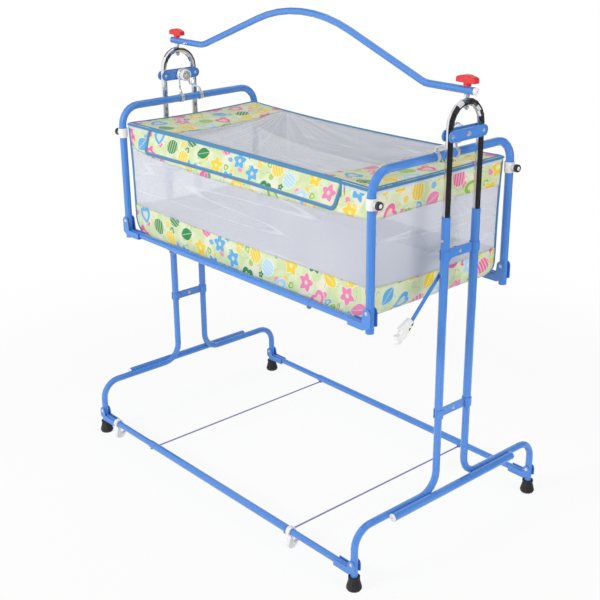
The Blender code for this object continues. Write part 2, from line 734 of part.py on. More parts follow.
# Bearing bolts, whose nuts close the bearings on the inner side
out_seat = outer_plate_x - END_X + seat_step + GAP
nut_seat = housing_inner - END_X - GAP
bolt_nut_r = BOLT_R * 1.55
bolt_nut_h = BOLT_R * 1.4
for side, s in SIDES:
    hang(turned(f"bearing_bolt_{side}", [
        (0, out_seat + head_h * 1.3), (bolt_nut_r * 0.75, out_seat + head_h), (bolt_nut_r, out_seat),
        (BOLT_R, out_seat), (BOLT_R, nut_seat), (bolt_nut_r, nut_seat), (bolt_nut_r, nut_seat - bolt_nut_h),
        (BOLT_R, nut_seat - bolt_nut_h), (BOLT_R, nut_seat - bolt_nut_h * 1.3),
        (0, nut_seat - bolt_nut_h * 1.3)], 12, zinc_steel, axis=(s, 0, 0), place=(s * END_X, 0, BEARING_Z)),
        height_slide)

# Nylon housings: a groove for the hanger wire and a pocket for the bearing
groove_r = HOUSING_R - WIRE_R
groove_half = WIRE_R + GAP * 2
groove_at = HOUSING_LENGTH / 2
housing_edge = HOUSING_R * 0.12
pocket = bore(RACE_R)
bolt_bore = BOLT_R + SLIDE_GAP
race_step = RACE_WIDTH * 0.12
for side, s in SIDES:
    place = (s * housing_inner, 0, BEARING_Z)
    hang(turned(f"bearing_housing_{side}", ring([
        (bolt_bore, HOUSING_LENGTH), (HOUSING_R - housing_edge, HOUSING_LENGTH),
        (HOUSING_R, HOUSING_LENGTH - housing_edge), (HOUSING_R, groove_at + groove_half),
        (groove_r, groove_at + groove_half), (groove_r, groove_at - groove_half),
        (HOUSING_R, groove_at - groove_half), (HOUSING_R, housing_edge), (HOUSING_R - housing_edge, 0),
        (pocket, 0), (pocket, RACE_WIDTH + GAP), (bolt_bore, RACE_WIDTH + GAP)]), 12, white_plastic,
        axis=(s, 0, 0), place=place), swing_axis)
    hang(turned(f"bearing_{side}", ring([
        (BOLT_R + GAP, RACE_WIDTH), (RACE_R, RACE_WIDTH), (RACE_R, 0), (RACE_R * 0.84, 0),
        (RACE_R * 0.82, race_step), (RACE_R * 0.60, race_step), (RACE_R * 0.58, 0), (BOLT_R + GAP, 0)]), 12,
        zinc_steel, axis=(s, 0, 0), place=place), swing_axis)

# Hangers: a wire over the housing, let at both ends into clips round the crib's top rail
wire_x = housing_inner + groove_at
loop_r = groove_r + GAP + WIRE_R
clip_w = 0.0090
clip_r = bore(TUBE_R) + SHEET
socket_r = WIRE_R + SHEET
socket_low = crib_top + clip_r - SHEET * 0.7
socket_top = crib_top + clip_r + WIRE_R * 2.2
knee_z = socket_top + WIRE_R * 4.4
for side, s in SIDES:
    loop = [Vector((s * wire_x, a, b)) for a, b in arc((0, BEARING_Z), loop_r, 180, 0, 10)]
    half_path = bent_path([(s * crib_x, -CLIP_Y, socket_low + SHEET), (s * crib_x, -CLIP_Y, socket_top + WIRE_R),
                           (s * wire_x, -loop_r, knee_z), (s * wire_x, -loop_r, BEARING_Z - WIRE_R)],
                          [WIRE_R * 1.6, WIRE_R * 2.4], [2, 2])
    far_path = [Vector((p.x, -p.y, p.z)) for p in reversed(half_path)]
    hanger = as_mesh(tube(f"hanger_{side}", half_path + loop + far_path, WIRE_R, zinc_steel, level=2))
    for depth, q in DEPTHS:
        place = (s * crib_x, q * CLIP_Y, crib_top)
        combine(hanger, turned(f"rail_clip_{depth}_{side}", ring([
            (clip_r, clip_w / 2), (clip_r, -clip_w / 2), (bore(TUBE_R), -clip_w / 2),
            (bore(TUBE_R), clip_w / 2)]), 12, chrome, axis=(0, 1, 0), place=place), "UNION")
        combine(hanger, round_cutter(f"clip_socket_{depth}_{side}", socket_r, socket_top - socket_low,
                                     (0, 0, 1), (place[0], place[1], (socket_top + socket_low) / 2), 10),
                "UNION")
        combine(hanger, head(f"clip_screw_{depth}_{side}", place, (s, 0, 0), clip_r), "UNION")
    hang(hanger, swing_axis)

# Crib end frames: inverted U tubes that carry the rails and the corner clamps
crib_foot = crib_rail_z - CRIB_TAIL
for side, s in SIDES:
    x = s * crib_x
    path = bent_path([(x, -CRIB_Y, crib_foot), (x, -CRIB_Y, crib_top), (x, CRIB_Y, crib_top),
                      (x, CRIB_Y, crib_foot)], [CRIB_BEND_R, CRIB_BEND_R], [6, 6])
    end = as_mesh(tube(f"crib_end_{side}", path, TUBE_R, blue_paint, WALL))
    for depth, q in DEPTHS:
        combine(end, round_cutter(f"crib_hole_{depth}_{side}", bore(shank_r, 6), TUBE_R * 4, (0, 1, 0),
                                  (x, q * CRIB_Y, crib_rail_z + CRIB_RIVET_RISE), 6))
    hang(end, swing_axis)
for depth, q in DEPTHS:
    hang(rail(f"crib_rail_{depth}", q * CRIB_Y, crib_rail_z, CRIB_SLEEVE_X, crib_x, TUBE_R,
              CRIB_RIVET_RISE), swing_axis)

# Floor wires under the crib rails, cranked up between them to carry the basket floor
crib_tie_x = CRIB_SLEEVE_X - tie_inset
crib_tie_z = crib_rail_z - TUBE_R - GAP - eye_t / 2
basket_floor = crib_rail_z
wire_lift = basket_floor - GAP - tie_r
crank_y = CRIB_Y - TUBE_R - tie_r * 2
for side, s in SIDES:
    x = s * crib_tie_x
    path = bent_path([(x, -CRIB_Y, crib_tie_z), (x, -crank_y, crib_tie_z), (x, -crank_y + TUBE_R, wire_lift),
                      (x, crank_y - TUBE_R, wire_lift), (x, crank_y, crib_tie_z), (x, CRIB_Y, crib_tie_z)],
                     [tie_r, tie_r, tie_r, tie_r], [1, 1, 1, 1])
    hang(tie(f"crib_floor_wire_{side}", path, x, CRIB_Y, crib_tie_z), swing_axis)

# Corner clamps round the upright tubes, each with a boss for its screw knob
boss_r = CLAMP_H * 0.26
boss_end = clamp_r + SHEET * 3
boss_start = (clamp_r + bore(TUBE_R)) / 2
screw_r = CLAMP_H * 0.38
screw_h = screw_r
thread = boss_end - clamp_r - GAP
for side, s in SIDES:
    for depth, q in DEPTHS:
        x, y = s * crib_x, q * CRIB_Y
        name = f"{depth}_{side}"
        clamp = turned(f"corner_clamp_{name}", ring([
            (clamp_r, CLAMP_H / 2), (clamp_r, -CLAMP_H / 2), (bore(TUBE_R), -CLAMP_H / 2),
            (bore(TUBE_R), CLAMP_H / 2)]), 12, white_plastic, place=(x, y, clamp_z))
        combine(clamp, round_cutter(f"clamp_boss_{name}", boss_r, boss_end - boss_start, (1, 0, 0),
                                    (x + s * (boss_end + boss_start) / 2, y, clamp_z), 10), "UNION")
        combine(clamp, round_cutter(f"clamp_bore_{name}", clear_hole, boss_end - clamp_r, (1, 0, 0),
                                    (x + s * ((boss_end + clamp_r) / 2 + GAP), y, clamp_z), 8))
        hang(clamp, swing_axis)
        place = (x + s * (boss_end + GAP), y, clamp_z)
        axis = pivot(f"clamp_knob_{name}_axis", place, swing_axis)
        hang(turned(f"clamp_knob_{name}", [
            (0, screw_h * 0.9), (screw_r * 0.5, screw_h * 0.9), (screw_r * 0.56, screw_h),
            (screw_r * 0.9, screw_h), (screw_r, screw_h * 0.85), (screw_r, screw_h * 0.1),
            (screw_r * 0.8, 0), (STUD_R, 0), (STUD_R, -thread), (0, -thread)], 12, black_plastic,
            axis=(s, 0, 0), place=place), axis)

# Fabric basket: walls drawn in between their corners, a flat floor and rounded lower corners
basket_x = crib_x - TUBE_R - GAP * 2
basket_y = CRIB_Y - TUBE_R - GAP * 4
rim_z = clamp_z + CLAMP_H
rim_sag = 0.0040
end_sag = 0.0030
net_sag = 0.0080
slack = 0.0030
pull = 0.0180
end_pull = 0.0060
floor_taper = 0.0050
corner_round = 0.0220
round_share = 0.14
level_shares = (0.00, 0.06, 0.25, 0.50, 0.77, 0.90, 1.00)
inner_shares = (0.06, 0.25, 0.50, 0.77, 1.00)
LONG_STEPS = 10
END_STEPS = 4


def wall_inset(t):
    return slack * math.sin(math.pi * t) + floor_taper * (1 - t) ** 4


def wall_point(u, t, long_side, extra):
    """A point of the outer wall: u runs along the side, t up the wall, extra is an outward offset."""
    inset = wall_inset(t)
    drawn = (pull if long_side else end_pull) * math.sin(math.pi * t / 2) * (1 - u * u)
    droop = (rim_sag if long_side else end_sag) * (1 - u * u) * t ** 3
    z = basket_floor + (rim_z - basket_floor) * t - droop
    rounded = corner_round * max(0, 1 - t / round_share) ** 2
    half_x, half_y = basket_x - inset - rounded + extra, basket_y - inset + extra
    if long_side:
        return Vector((u * half_x, -(half_y - drawn), z))
    return Vector((half_x - drawn, u * half_y, z))


def wall_ring(t, extra, raise_by=0.0):
    points = []
    for sign in (1, -1):
        for k in range(LONG_STEPS):
            p = wall_point(-1 + 2 * k / LONG_STEPS, t, True, extra)
            points.append(Vector((sign * p.x, sign * p.y, p.z + raise_by)))
        for k in range(END_STEPS):
            p = wall_point(-1 + 2 * k / END_STEPS, t, False, extra)
            points.append(Vector((sign * p.x, sign * p.y, p.z + raise_by)))
    return points


outer = [wall_ring(t, 0) for t in level_shares]
inner = [wall_ring(t, -CLOTH) for t in reversed(inner_shares)]
inner.append(wall_ring(0, -CLOTH, CLOTH))
hang(loft("fabric_basket", outer + inner, print_cloth), swing_axis)


def slab(name, point, across, down, thickness, material):
    """A sheet with its two faces offset along Z or along the given direction of the point maker."""
    build = bmesh.new()
    layers = []
    for lift in (0, thickness):
        layers.append([[build.verts.new(point(i / across, j / down, lift)) for i in range(across + 1)]
                       for j in range(down + 1)])
    for layer, rows in enumerate(layers):
        for j in range(down):
            for i in range(across):
                quad = (rows[j][i], rows[j][i + 1], rows[j + 1][i + 1], rows[j + 1][i])
                build.faces.new(quad if layer else tuple(reversed(quad)))
    low, high = layers
    rim_low = low[0] + [row[-1] for row in low[1:]] + low[-1][-2::-1] + [row[0] for row in low[-2:0:-1]]
    rim_high = high[0] + [row[-1] for row in high[1:]] + high[-1][-2::-1] + [row[0] for row in high[-2:0:-1]]
    for k in range(len(rim_low)):
        n = (k + 1) % len(rim_low)
        build.faces.new((rim_low[k], rim_low[n], rim_high[n], rim_high[k]))
    bmesh.ops.recalc_face_normals(build, faces=build.faces)
    data = bpy.data.meshes.new(name)
    build.to_mesh(data)
    build.free()
    data.materials.append(material)
    piece = bpy.data.objects.new(name, data)
    part.objects.link(piece)
    return piece


# Padded mattress on the basket floor, crowned and drawn down along its channels
pad_half_x = basket_x - floor_taper - corner_round - CLOTH
pad_half_y = basket_y - floor_taper - slack - CLOTH
pad_h = 0.0240
pad_dip = 0.0030
edge_share = 0.55
CHANNELS = 3


def pad_point(i, j, lift):
    u, v = 2 * i - 1, 2 * j - 1
    z = basket_floor + CLOTH + GAP
    if lift:
        crown = (1 - abs(u) ** 8) * (1 - abs(v) ** 6)
        dip = pad_dip * crown * math.cos(math.pi * CHANNELS * u) ** 8
        z += lift * (edge_share + (1 - edge_share) * crown) - dip
    return Vector((u * pad_half_x, v * pad_half_y, z))


hang(slab("mattress", pad_point, CHANNELS * 4, 6, pad_h, pad_cloth), swing_axis)


# Net cover over the rim, sagging to its middle
def cover_point(i, j, lift):
    u, v = 2 * i - 1, 2 * j - 1
    along, over = 1 - u * u, 1 - v * v
    z = rim_z + GAP - rim_sag * along - end_sag * over - net_sag * along * over + lift
    return Vector((u * (basket_x - end_pull * over), v * (basket_y - pull * along), z))


hang(slab("net_cover", cover_point, LONG_STEPS, END_STEPS, NET, net_cloth), swing_axis)

# Printed front flap that folds down from the cover's front edge
flap_shares = (-0.82, 0.77)
flap_rows = level_shares[-3:]


def flap_point(i, j, lift):
    start, end = flap_shares
    u = start + (end - start) * i
    t = flap_rows[round(j * (len(flap_rows) - 1))]
    return wall_point(u, t, True, GAP * 2 + lift)


hang(slab("front_flap", flap_point, 6, len(flap_rows) - 1, NET, print_cloth), swing_axis)

# Round pieces shade smooth with their edges kept
for piece in part.objects:
    if piece.type == "MESH":
        piece.data.shade_smooth()
        piece.data.set_sharp_from_angle(angle=math.radians(35))
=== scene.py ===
import math
from functools import reduce

import bmesh
import bpy
from mathutils import Matrix, Vector, noise


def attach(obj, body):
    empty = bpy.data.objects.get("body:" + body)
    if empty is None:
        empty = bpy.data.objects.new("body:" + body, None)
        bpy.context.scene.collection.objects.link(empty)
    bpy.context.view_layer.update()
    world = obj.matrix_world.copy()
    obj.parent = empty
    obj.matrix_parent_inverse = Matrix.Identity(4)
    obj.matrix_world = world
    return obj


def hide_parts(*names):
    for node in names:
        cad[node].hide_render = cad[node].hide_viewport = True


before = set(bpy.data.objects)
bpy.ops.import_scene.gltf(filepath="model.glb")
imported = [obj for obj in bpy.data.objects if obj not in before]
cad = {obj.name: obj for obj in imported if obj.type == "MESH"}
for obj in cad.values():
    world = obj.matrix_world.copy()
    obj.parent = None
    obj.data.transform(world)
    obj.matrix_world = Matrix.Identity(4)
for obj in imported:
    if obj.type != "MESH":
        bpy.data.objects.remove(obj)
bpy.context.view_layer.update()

scene = bpy.context.scene
scene.view_settings.view_transform = "Standard"
print("frame loaded:", len(cad), "CAD nodes")


# Camera, at the photograph's viewing angle
cameraSetup = {
    "place": (1.9442, -1.7266, 1.4632),
    "aim": (-0.69985, 0.61631, -0.36106),
    "roll": -0.0095,
    "lens": 66.08,
    "sensor": 36,
    "clip": (0.05, 60),
}


def placeCamera(setup):
    lens = bpy.data.cameras.new("camera")
    lens.lens = setup["lens"]
    lens.sensor_width = setup["sensor"]
    lens.sensor_fit = "HORIZONTAL"
    lens.clip_start, lens.clip_end = setup["clip"]
    aim = Vector(setup["aim"]).normalized()
    right = aim.cross(Vector((0, 0, 1))).normalized()
    up = right.cross(aim)
    c, s = math.cos(setup["roll"]), math.sin(setup["roll"])
    turn = Matrix((right * c + up * s, up * c - right * s, -aim)).transposed()
    made = bpy.data.objects.new("camera", lens)
    made.matrix_world = Matrix.Translation(setup["place"]) @ turn.to_4x4()
    scene.collection.objects.link(made)
    scene.camera = made


placeCamera(cameraSetup)


# A wire is a node's output that can stand in sums; a term is a wire, a number, a colour or a vector
class Wire:
    def __init__(self, socket):
        self.socket = socket

    def __add__(self, other):
        return calc("ADD", self, other)

    def __radd__(self, other):
        return calc("ADD", other, self)

    def __sub__(self, other):
        return calc("SUBTRACT", self, other)

    def __rsub__(self, other):
        return calc("SUBTRACT", other, self)

    def __mul__(self, other):
        return calc("MULTIPLY", self, other)

    def __rmul__(self, other):
        return calc("MULTIPLY", other, self)

    def __truediv__(self, other):
        return calc("DIVIDE", self, other)

    def __rtruediv__(self, other):
        return calc("DIVIDE", other, self)


def feed(term, socket):
    if isinstance(term, Wire):
        socket.id_data.links.new(term.socket, socket)
    elif socket.type == "RGBA" and len(term) == 3:
        socket.default_value = (*term, 1)
    else:
        socket.default_value = term


def addNode(tree, kind, terms=(), **settings):
    made = tree.nodes.new(kind)
    for name, value in settings.items():
        setattr(made, name, value)
    for name, term in dict(terms).items():
        feed(term, made.inputs[name])
    return made


def nodeWire(tree, kind, terms=(), at=0, **settings):
    return Wire(addNode(tree, kind, terms, **settings).outputs[at])


def treeOf(*terms):
    return next(term.socket.id_data for term in terms if isinstance(term, Wire))


def calc(operation, *terms):
    return nodeWire(treeOf(*terms), "ShaderNodeMath", enumerate(terms), operation=operation)


def vectorCalc(operation, *terms, at="Vector", **named):
    return nodeWire(treeOf(*terms), "ShaderNodeVectorMath", {**dict(enumerate(terms)), **named}, at,
                    operation=operation)


def lengthOf(vector):
    return vectorCalc("LENGTH", vector, at="Value")


def largest(wires):
    return reduce(lambda first, second: calc("MAXIMUM", first, second), wires)


def partsOf(whole, kind="ShaderNodeSeparateXYZ"):
    return [Wire(socket) for socket in addNode(treeOf(whole), kind, {0: whole}).outputs]


def mixColour(share, first, second):
    return nodeWire(treeOf(share, first, second), "ShaderNodeMix", {0: share, 6: first, 7: second}, 2,
                    data_type="RGBA")


def ease(value, low, high, fromValue=0.0, toValue=1.0):
    return nodeWire(treeOf(value), "ShaderNodeMapRange", {
        "Value": value, "From Min": low, "From Max": high, "To Min": fromValue, "To Max": toValue},
        interpolation_type="SMOOTHSTEP")


def fade(value, low, high, most=1.0):
    return ease(value, low, high, most, 0.0)


def noiseAt(place, scale, detail=2.0, **more):
    return nodeWire(treeOf(place), "ShaderNodeTexNoise", {
        "Vector": place, "Scale": scale, "Detail": detail, **more})


def objectPlace(tree):
    return nodeWire(tree, "ShaderNodeTexCoord", at="Object")


def flatPlace(tree):
    # a cloth's own map, in metres
    return nodeWire(tree, "ShaderNodeUVMap", uv_map="flat")


def newGroup(name, takes, gives, kind="ShaderNodeTree"):
    tree = bpy.data.node_groups.new(name, kind)
    for label, form, value in takes:
        socket = tree.interface.new_socket(name=label, in_out="INPUT", socket_type="NodeSocket" + form)
        if value is not None:
            socket.default_value = (*value, 1) if form == "Color" else value
    for label, form in gives:
        tree.interface.new_socket(name=label, in_out="OUTPUT", socket_type="NodeSocket" + form)
    given = {socket.name: Wire(socket) for socket in tree.nodes.new("NodeGroupInput").outputs}
    return tree, given, tree.nodes.new("NodeGroupOutput").inputs


def useGroup(tree, group, **terms):
    made = tree.nodes.new("ShaderNodeGroup")
    made.node_tree = group
    for name, term in terms.items():
        feed(term, made.inputs[name])
    return {socket.name: Wire(socket) for socket in made.outputs}


# Grain, tone and scuffs that every hard surface shares
scuffLook = {
    "patchSize": 0.045, "patchShown": (0.50, 0.66), "streakSize": 0.0035, "streakStretch": (1, 1, 0.14),
    "streakBreak": 0.65, "streakShown": (0.66, 0.74), "grainShare": 0.4, "scuffRough": 0.15,
}


def hardFinishGroup():
    tree, given, result = newGroup("hardFinish", [
        ("Colour", "Color", (0.5, 0.5, 0.5)), ("Worn", "Color", (0.8, 0.8, 0.8)), ("Grain", "Float", 0.002),
        ("Tone", "Float", 0.08), ("Wear", "Float", 0.3), ("Smooth", "Float", 0.3), ("Rough", "Float", 0.45)],
        [("Colour", "Color"), ("Roughness", "Float"), ("Height", "Float")])
    look = scuffLook
    place = objectPlace(tree)
    patch = noiseAt(place, 1 / look["patchSize"], 3.0)
    grain = noiseAt(place, 1 / given["Grain"])
    stretched = nodeWire(tree, "ShaderNodeMapping", {"Vector": place, "Scale": look["streakStretch"]})
    streak = noiseAt(stretched, 1 / look["streakSize"], 4.0, Roughness=look["streakBreak"])
    scuff = ease(streak, *look["streakShown"]) * ease(patch, *look["patchShown"]) * given["Wear"]
    bright = 1.0 + (patch - 0.5) * given["Tone"] * 2.0
    toned = vectorCalc("SCALE", given["Colour"], Scale=bright)
    feed(mixColour(scuff, toned, given["Worn"]), result["Colour"])
    mottle = grain * look["grainShare"] + patch * (1 - look["grainShare"])
    rough = given["Smooth"] + (given["Rough"] - given["Smooth"]) * mottle
    feed(rough + scuff * look["scuffRough"], result["Roughness"])
    feed(grain - scuff, result["Height"])
    return tree


# Where a round fitting of another finish sits on a node, by the two coordinates across its axis
def spotGroup():
    tree, given, result = newGroup("fittingSpot", [
        ("Across", "Float", 0.0), ("Up", "Float", 0.0), ("Centre Across", "Float", 0.0),
        ("Centre Up", "Float", 0.0), ("Radius", "Float", 0.004)], [("Mask", "Float")])
    a = given["Across"] - given["Centre Across"]
    b = given["Up"] - given["Centre Up"]
    feed(calc("LESS_THAN", calc("SQRT", a * a + b * b), given["Radius"]), result["Mask"])
    return tree


# Plain weave on a cloth's own map
weaveLook = {"over": 0.35, "ribs": 0.3, "slubScale": 90.0}


def weaveGroup():
    tree, given, result = newGroup("plainWeave", [("Thread", "Float", 0.0008), ("Slub", "Float", 0.3)],
                                   [("Height", "Float"), ("Shade", "Float")])
    flat = flatPlace(tree)
    turn = math.pi / given["Thread"]
    warp, weft = [calc("SINE", part * turn) for part in partsOf(flat)[:2]]
    over = warp * weft
    ribs = calc("ABSOLUTE", warp) + calc("ABSOLUTE", weft)
    slub = noiseAt(flat, weaveLook["slubScale"], 3.0) * given["Slub"]
    feed(over * weaveLook["over"] + ribs * weaveLook["ribs"] + slub, result["Height"])
    feed(0.5 + over * 0.5, result["Shade"])
    return tree


# Soft creases in hanging cloth
creaseLook = {"twist": 0.8, "narrow": 6.0, "ridge": 0.25}


def creaseGroup():
    tree, given, result = newGroup("clothCreases", [("Size", "Float", 0.06)], [("Height", "Float")])
    broad = noiseAt(objectPlace(tree), 1.0 / given["Size"], 3.0, Distortion=creaseLook["twist"])
    away = calc("ABSOLUTE", (broad - 0.5) * creaseLook["narrow"])
    ridge = calc("MAXIMUM", 1.0 - away, 0.0)
    feed(broad + ridge * creaseLook["ridge"], result["Height"])
    return tree


# One layer of printed motifs: a heart, flower, leaf, star or striped ball in each cell, sizes in cells
motif = {
    "turn": 0.42, "spread": 0.20, "heart": 0.35, "heartDip": (0.36, 0.07), "flower": (0.32, 0.075),
    "leaf": (0.27, 2.4), "star": (0.41, 0.36), "ball": 0.35, "soft": 0.012, "edge": (0.018, 0.032),
    "stripes": 7.0, "detail": 0.62, "detailInk": (0.90, 0.86, 0.58), "inkSpread": 7.31,
    "heartDetail": (-0.165, -0.150), "flowerDetail": (0.105, 0.120), "leafDetail": (0.010, 0.020),
    "starDetail": (0.085, 0.100), "stripeDetail": (0.13, 0.17), "petals": 5, "points": 5,
    "inks": ((0.00, (0.78, 0.13, 0.33)), (0.15, (0.86, 0.62, 0.02)), (0.34, (0.24, 0.52, 0.015)),
             (0.50, (0.10, 0.40, 0.70)), (0.65, (0.85, 0.60, 0.02)), (0.76, (0.00, 0.24, 0.055)),
             (0.86, (0.80, 0.22, 0.42)), (0.97, (0.42, 0.66, 0.84))),
}


def inkRamp(tree, share):
    inks = addNode(tree, "ShaderNodeValToRGB", {0: share})
    ramp = inks.color_ramp
    ramp.interpolation = "CONSTANT"
    while len(ramp.elements) < len(motif["inks"]):
        ramp.elements.new(1.0)
    for element, (place, ink) in zip(ramp.elements, motif["inks"]):
        element.position = place
        element.color = (*ink, 1)
    return Wire(inks.outputs[0])


def turned(tree, vector, angle):
    return nodeWire(tree, "ShaderNodeVectorRotate", {"Vector": vector, "Angle": angle},
                    rotation_type="Z_AXIS")


def motifGroup():
    tree, given, result = newGroup("printedMotifs", [
        ("Cell", "Float", 0.055), ("Shift", "Float", 0.0), ("Share", "Float", 1.0)],
        [("Colour", "Color"), ("Inside", "Float"), ("Edge", "Float")])
    m = motif
    scaled = vectorCalc("SCALE", flatPlace(tree), Scale=1.0 / given["Cell"])
    place = turned(tree, vectorCalc("ADD", scaled, given["Shift"]), m["turn"])
    cell = addNode(tree, "ShaderNodeTexVoronoi", {"Vector": place, "Scale": 1.0, "Randomness": m["spread"]},
                   voronoi_dimensions="2D").outputs
    local = vectorCalc("MULTIPLY", vectorCalc("SUBTRACT", place, Wire(cell["Position"])), (1, 1, 0))
    luck = partsOf(Wire(cell["Color"]), "ShaderNodeSeparateColor")
    spin = turned(tree, local, luck[0] * (2 * math.pi))
    x, y = partsOf(spin)[:2]
    away, around, wide = lengthOf(spin), calc("ARCTAN2", y, x), calc("ABSOLUTE", x)
    bulge = y - (calc("SQRT", wide) * m["heartDip"][0] - m["heartDip"][1])
    heart = calc("SQRT", x * x + bulge * bulge) - m["heart"]
    flower = away - (m["flower"][0] + calc("COSINE", around * m["petals"]) * m["flower"][1])
    long = y * m["leaf"][1]
    leaf = wide - (m["leaf"][0] - long * long * m["leaf"][0])
    points = calc("PINGPONG", around * (m["points"] / (2 * math.pi)), 0.5)
    star = away - (m["star"][0] - points * m["star"][1])
    stripes = calc("PINGPONG", x * m["stripes"], 0.5)
    outlines = (heart, flower, leaf, star, away - m["ball"])
    pick = calc("FLOOR", luck[1] * len(outlines))

    def picked(drawings):
        return sum(calc("COMPARE", pick, float(k), 0.4) * drawn for k, drawn in enumerate(drawings))

    field = picked(outlines)
    detail = picked((fade(field, *m["heartDetail"]), fade(away, *m["flowerDetail"]),
                     fade(wide, *m["leafDetail"]), fade(away, *m["starDetail"]),
                     fade(stripes, *m["stripeDetail"])))
    shown = calc("LESS_THAN", luck[2], given["Share"])
    inks = inkRamp(tree, calc("FRACT", luck[2] * m["inkSpread"]))
    feed(mixColour(detail * m["detail"], inks, m["detailInk"]), result["Colour"])
    feed(fade(field, -m["soft"], m["soft"]) * shown, result["Inside"])
    feed(fade(field, *m["edge"]) * shown, result["Edge"])
    return tree


hardFinish, fittingSpot, plainWeave = hardFinishGroup(), spotGroup(), weaveGroup()
clothCreases, printedMotifs = creaseGroup(), motifGroup()
print("shader groups built")


# Materials
def newMaterial(name, **fixed):
    made = bpy.data.materials.new(name)
    made.use_nodes = True
    shader = made.node_tree.nodes["Principled BSDF"]
    for label, value in fixed.items():
        feed(value, shader.inputs[label.replace("_", " ")])
    return made, made.node_tree, shader.inputs


def addBump(sockets, height, distance, strength=1.0):
    feed(nodeWire(treeOf(height), "ShaderNodeBump", {
        "Height": height, "Distance": distance, "Strength": strength}), sockets["Normal"])


hardFinishes = {
    "bluePaint": {"colour": (0.085, 0.255, 0.68), "worn": (0.30, 0.45, 0.75), "grain": 0.0022, "tone": 0.05,
                  "wear": 0.12, "smooth": 0.12, "rough": 0.17, "metal": 0.0, "bump": 0.000005},
    "chromePlate": {"colour": (0.78, 0.78, 0.79), "worn": (0.55, 0.55, 0.56), "grain": 0.0050, "tone": 0.03,
                    "wear": 0.30, "smooth": 0.10, "rough": 0.20, "metal": 1.0, "bump": 0.00001},
    "zincSteel": {"colour": (0.74, 0.75, 0.77), "worn": (0.34, 0.33, 0.32), "grain": 0.0012, "tone": 0.12,
                  "wear": 0.50, "smooth": 0.40, "rough": 0.56, "metal": 0.6, "bump": 0.00003},
    "tiePaint": {"colour": (0.24, 0.23, 0.42), "worn": (0.42, 0.42, 0.50), "grain": 0.0015, "tone": 0.12,
                 "wear": 0.60, "smooth": 0.35, "rough": 0.50, "metal": 0.0, "bump": 0.00003},
    "blackRubber": {"colour": (0.014, 0.014, 0.016), "worn": (0.10, 0.10, 0.095), "grain": 0.0010,
                    "tone": 0.20, "wear": 0.60, "smooth": 0.55, "rough": 0.80, "metal": 0.0, "bump": 0.00008},
    "whitePlastic": {"colour": (0.82, 0.82, 0.81), "worn": (0.66, 0.65, 0.62), "grain": 0.0014,
                     "tone": 0.04, "wear": 0.40, "smooth": 0.32, "rough": 0.50, "metal": 0.0,
                     "bump": 0.00005},
    "redPlastic": {"colour": (0.72, 0.035, 0.042), "worn": (0.80, 0.25, 0.24), "grain": 0.0016, "tone": 0.08,
                   "wear": 0.35, "smooth": 0.26, "rough": 0.42, "metal": 0.0, "bump": 0.00005},
    "blackPlastic": {"colour": (0.028, 0.028, 0.030), "worn": (0.15, 0.15, 0.15), "grain": 0.0014,
                     "tone": 0.15, "wear": 0.50, "smooth": 0.34, "rough": 0.52, "metal": 0.0,
                     "bump": 0.00005},
}


def finishOf(tree, kind):
    looks = {label.capitalize(): value for label, value in hardFinishes[kind].items()}
    return useGroup(tree, hardFinish, **{label: looks[label] for label in (
        "Colour", "Worn", "Grain", "Tone", "Wear", "Smooth", "Rough")})


def hardMaterial(name, kind, other=None, spots=(), beyond=()):
    # spots are round fittings of the other finish, beyond is (coordinate, distance) pairs that all hold
    metal = hardFinishes[kind]["metal"]
    made, tree, sockets = newMaterial(name, Metallic=metal)
    finish = finishOf(tree, kind)
    colour, rough = finish["Colour"], finish["Roughness"]
    if other:
        axes = partsOf(vectorCalc("ABSOLUTE", objectPlace(tree)))
        masks = []
        for along, (across, up), radius in spots:
            a, b = [axes[k] for k in range(3) if k != along]
            masks.append(useGroup(tree, fittingSpot, **{
                "Across": a, "Up": b, "Centre Across": across, "Centre Up": up, "Radius": radius})["Mask"])
        if beyond:
            tests = [calc("GREATER_THAN", axes[axis], distance) for axis, distance in beyond]
            masks.append(reduce(lambda first, second: first * second, tests))
        mask = largest(masks)
        second = finishOf(tree, other)
        colour = mixColour(mask, colour, second["Colour"])
        rough = nodeWire(tree, "ShaderNodeMix", {0: mask, 2: rough, 3: second["Roughness"]})
        if metal != hardFinishes[other]["metal"]:
            feed(metal + mask * (hardFinishes[other]["metal"] - metal), sockets["Metallic"])
    feed(colour, sockets["Base Color"])
    feed(rough, sockets["Roughness"])
    addBump(sockets, finish["Height"], hardFinishes[kind]["bump"])
    return made


# Blue tubes and brackets carry steel rivets and white plugs on the same node, at these places
fittings = {
    "endX": 0.500, "uprightY": 0.048, "railRivet": 0.0648, "bearingZ": 0.9655,
    "lowerBracketZ": 0.340, "midBracketZ": 0.712, "cribX": 0.450, "cribY": 0.218, "cribRivet": 0.613,
    "clampZ": 0.847, "rivet": 0.0043, "knobScrew": 0.0047, "bowEnd": 0.5212, "spreaderEnd": 0.2054,
    "spreaderX": 0.5088,
}


def rivetedPaint(name, along, *places):
    rivets = [(along, place, fittings["rivet"]) for place in places]
    return hardMaterial(name, "bluePaint", "zincSteel", rivets)


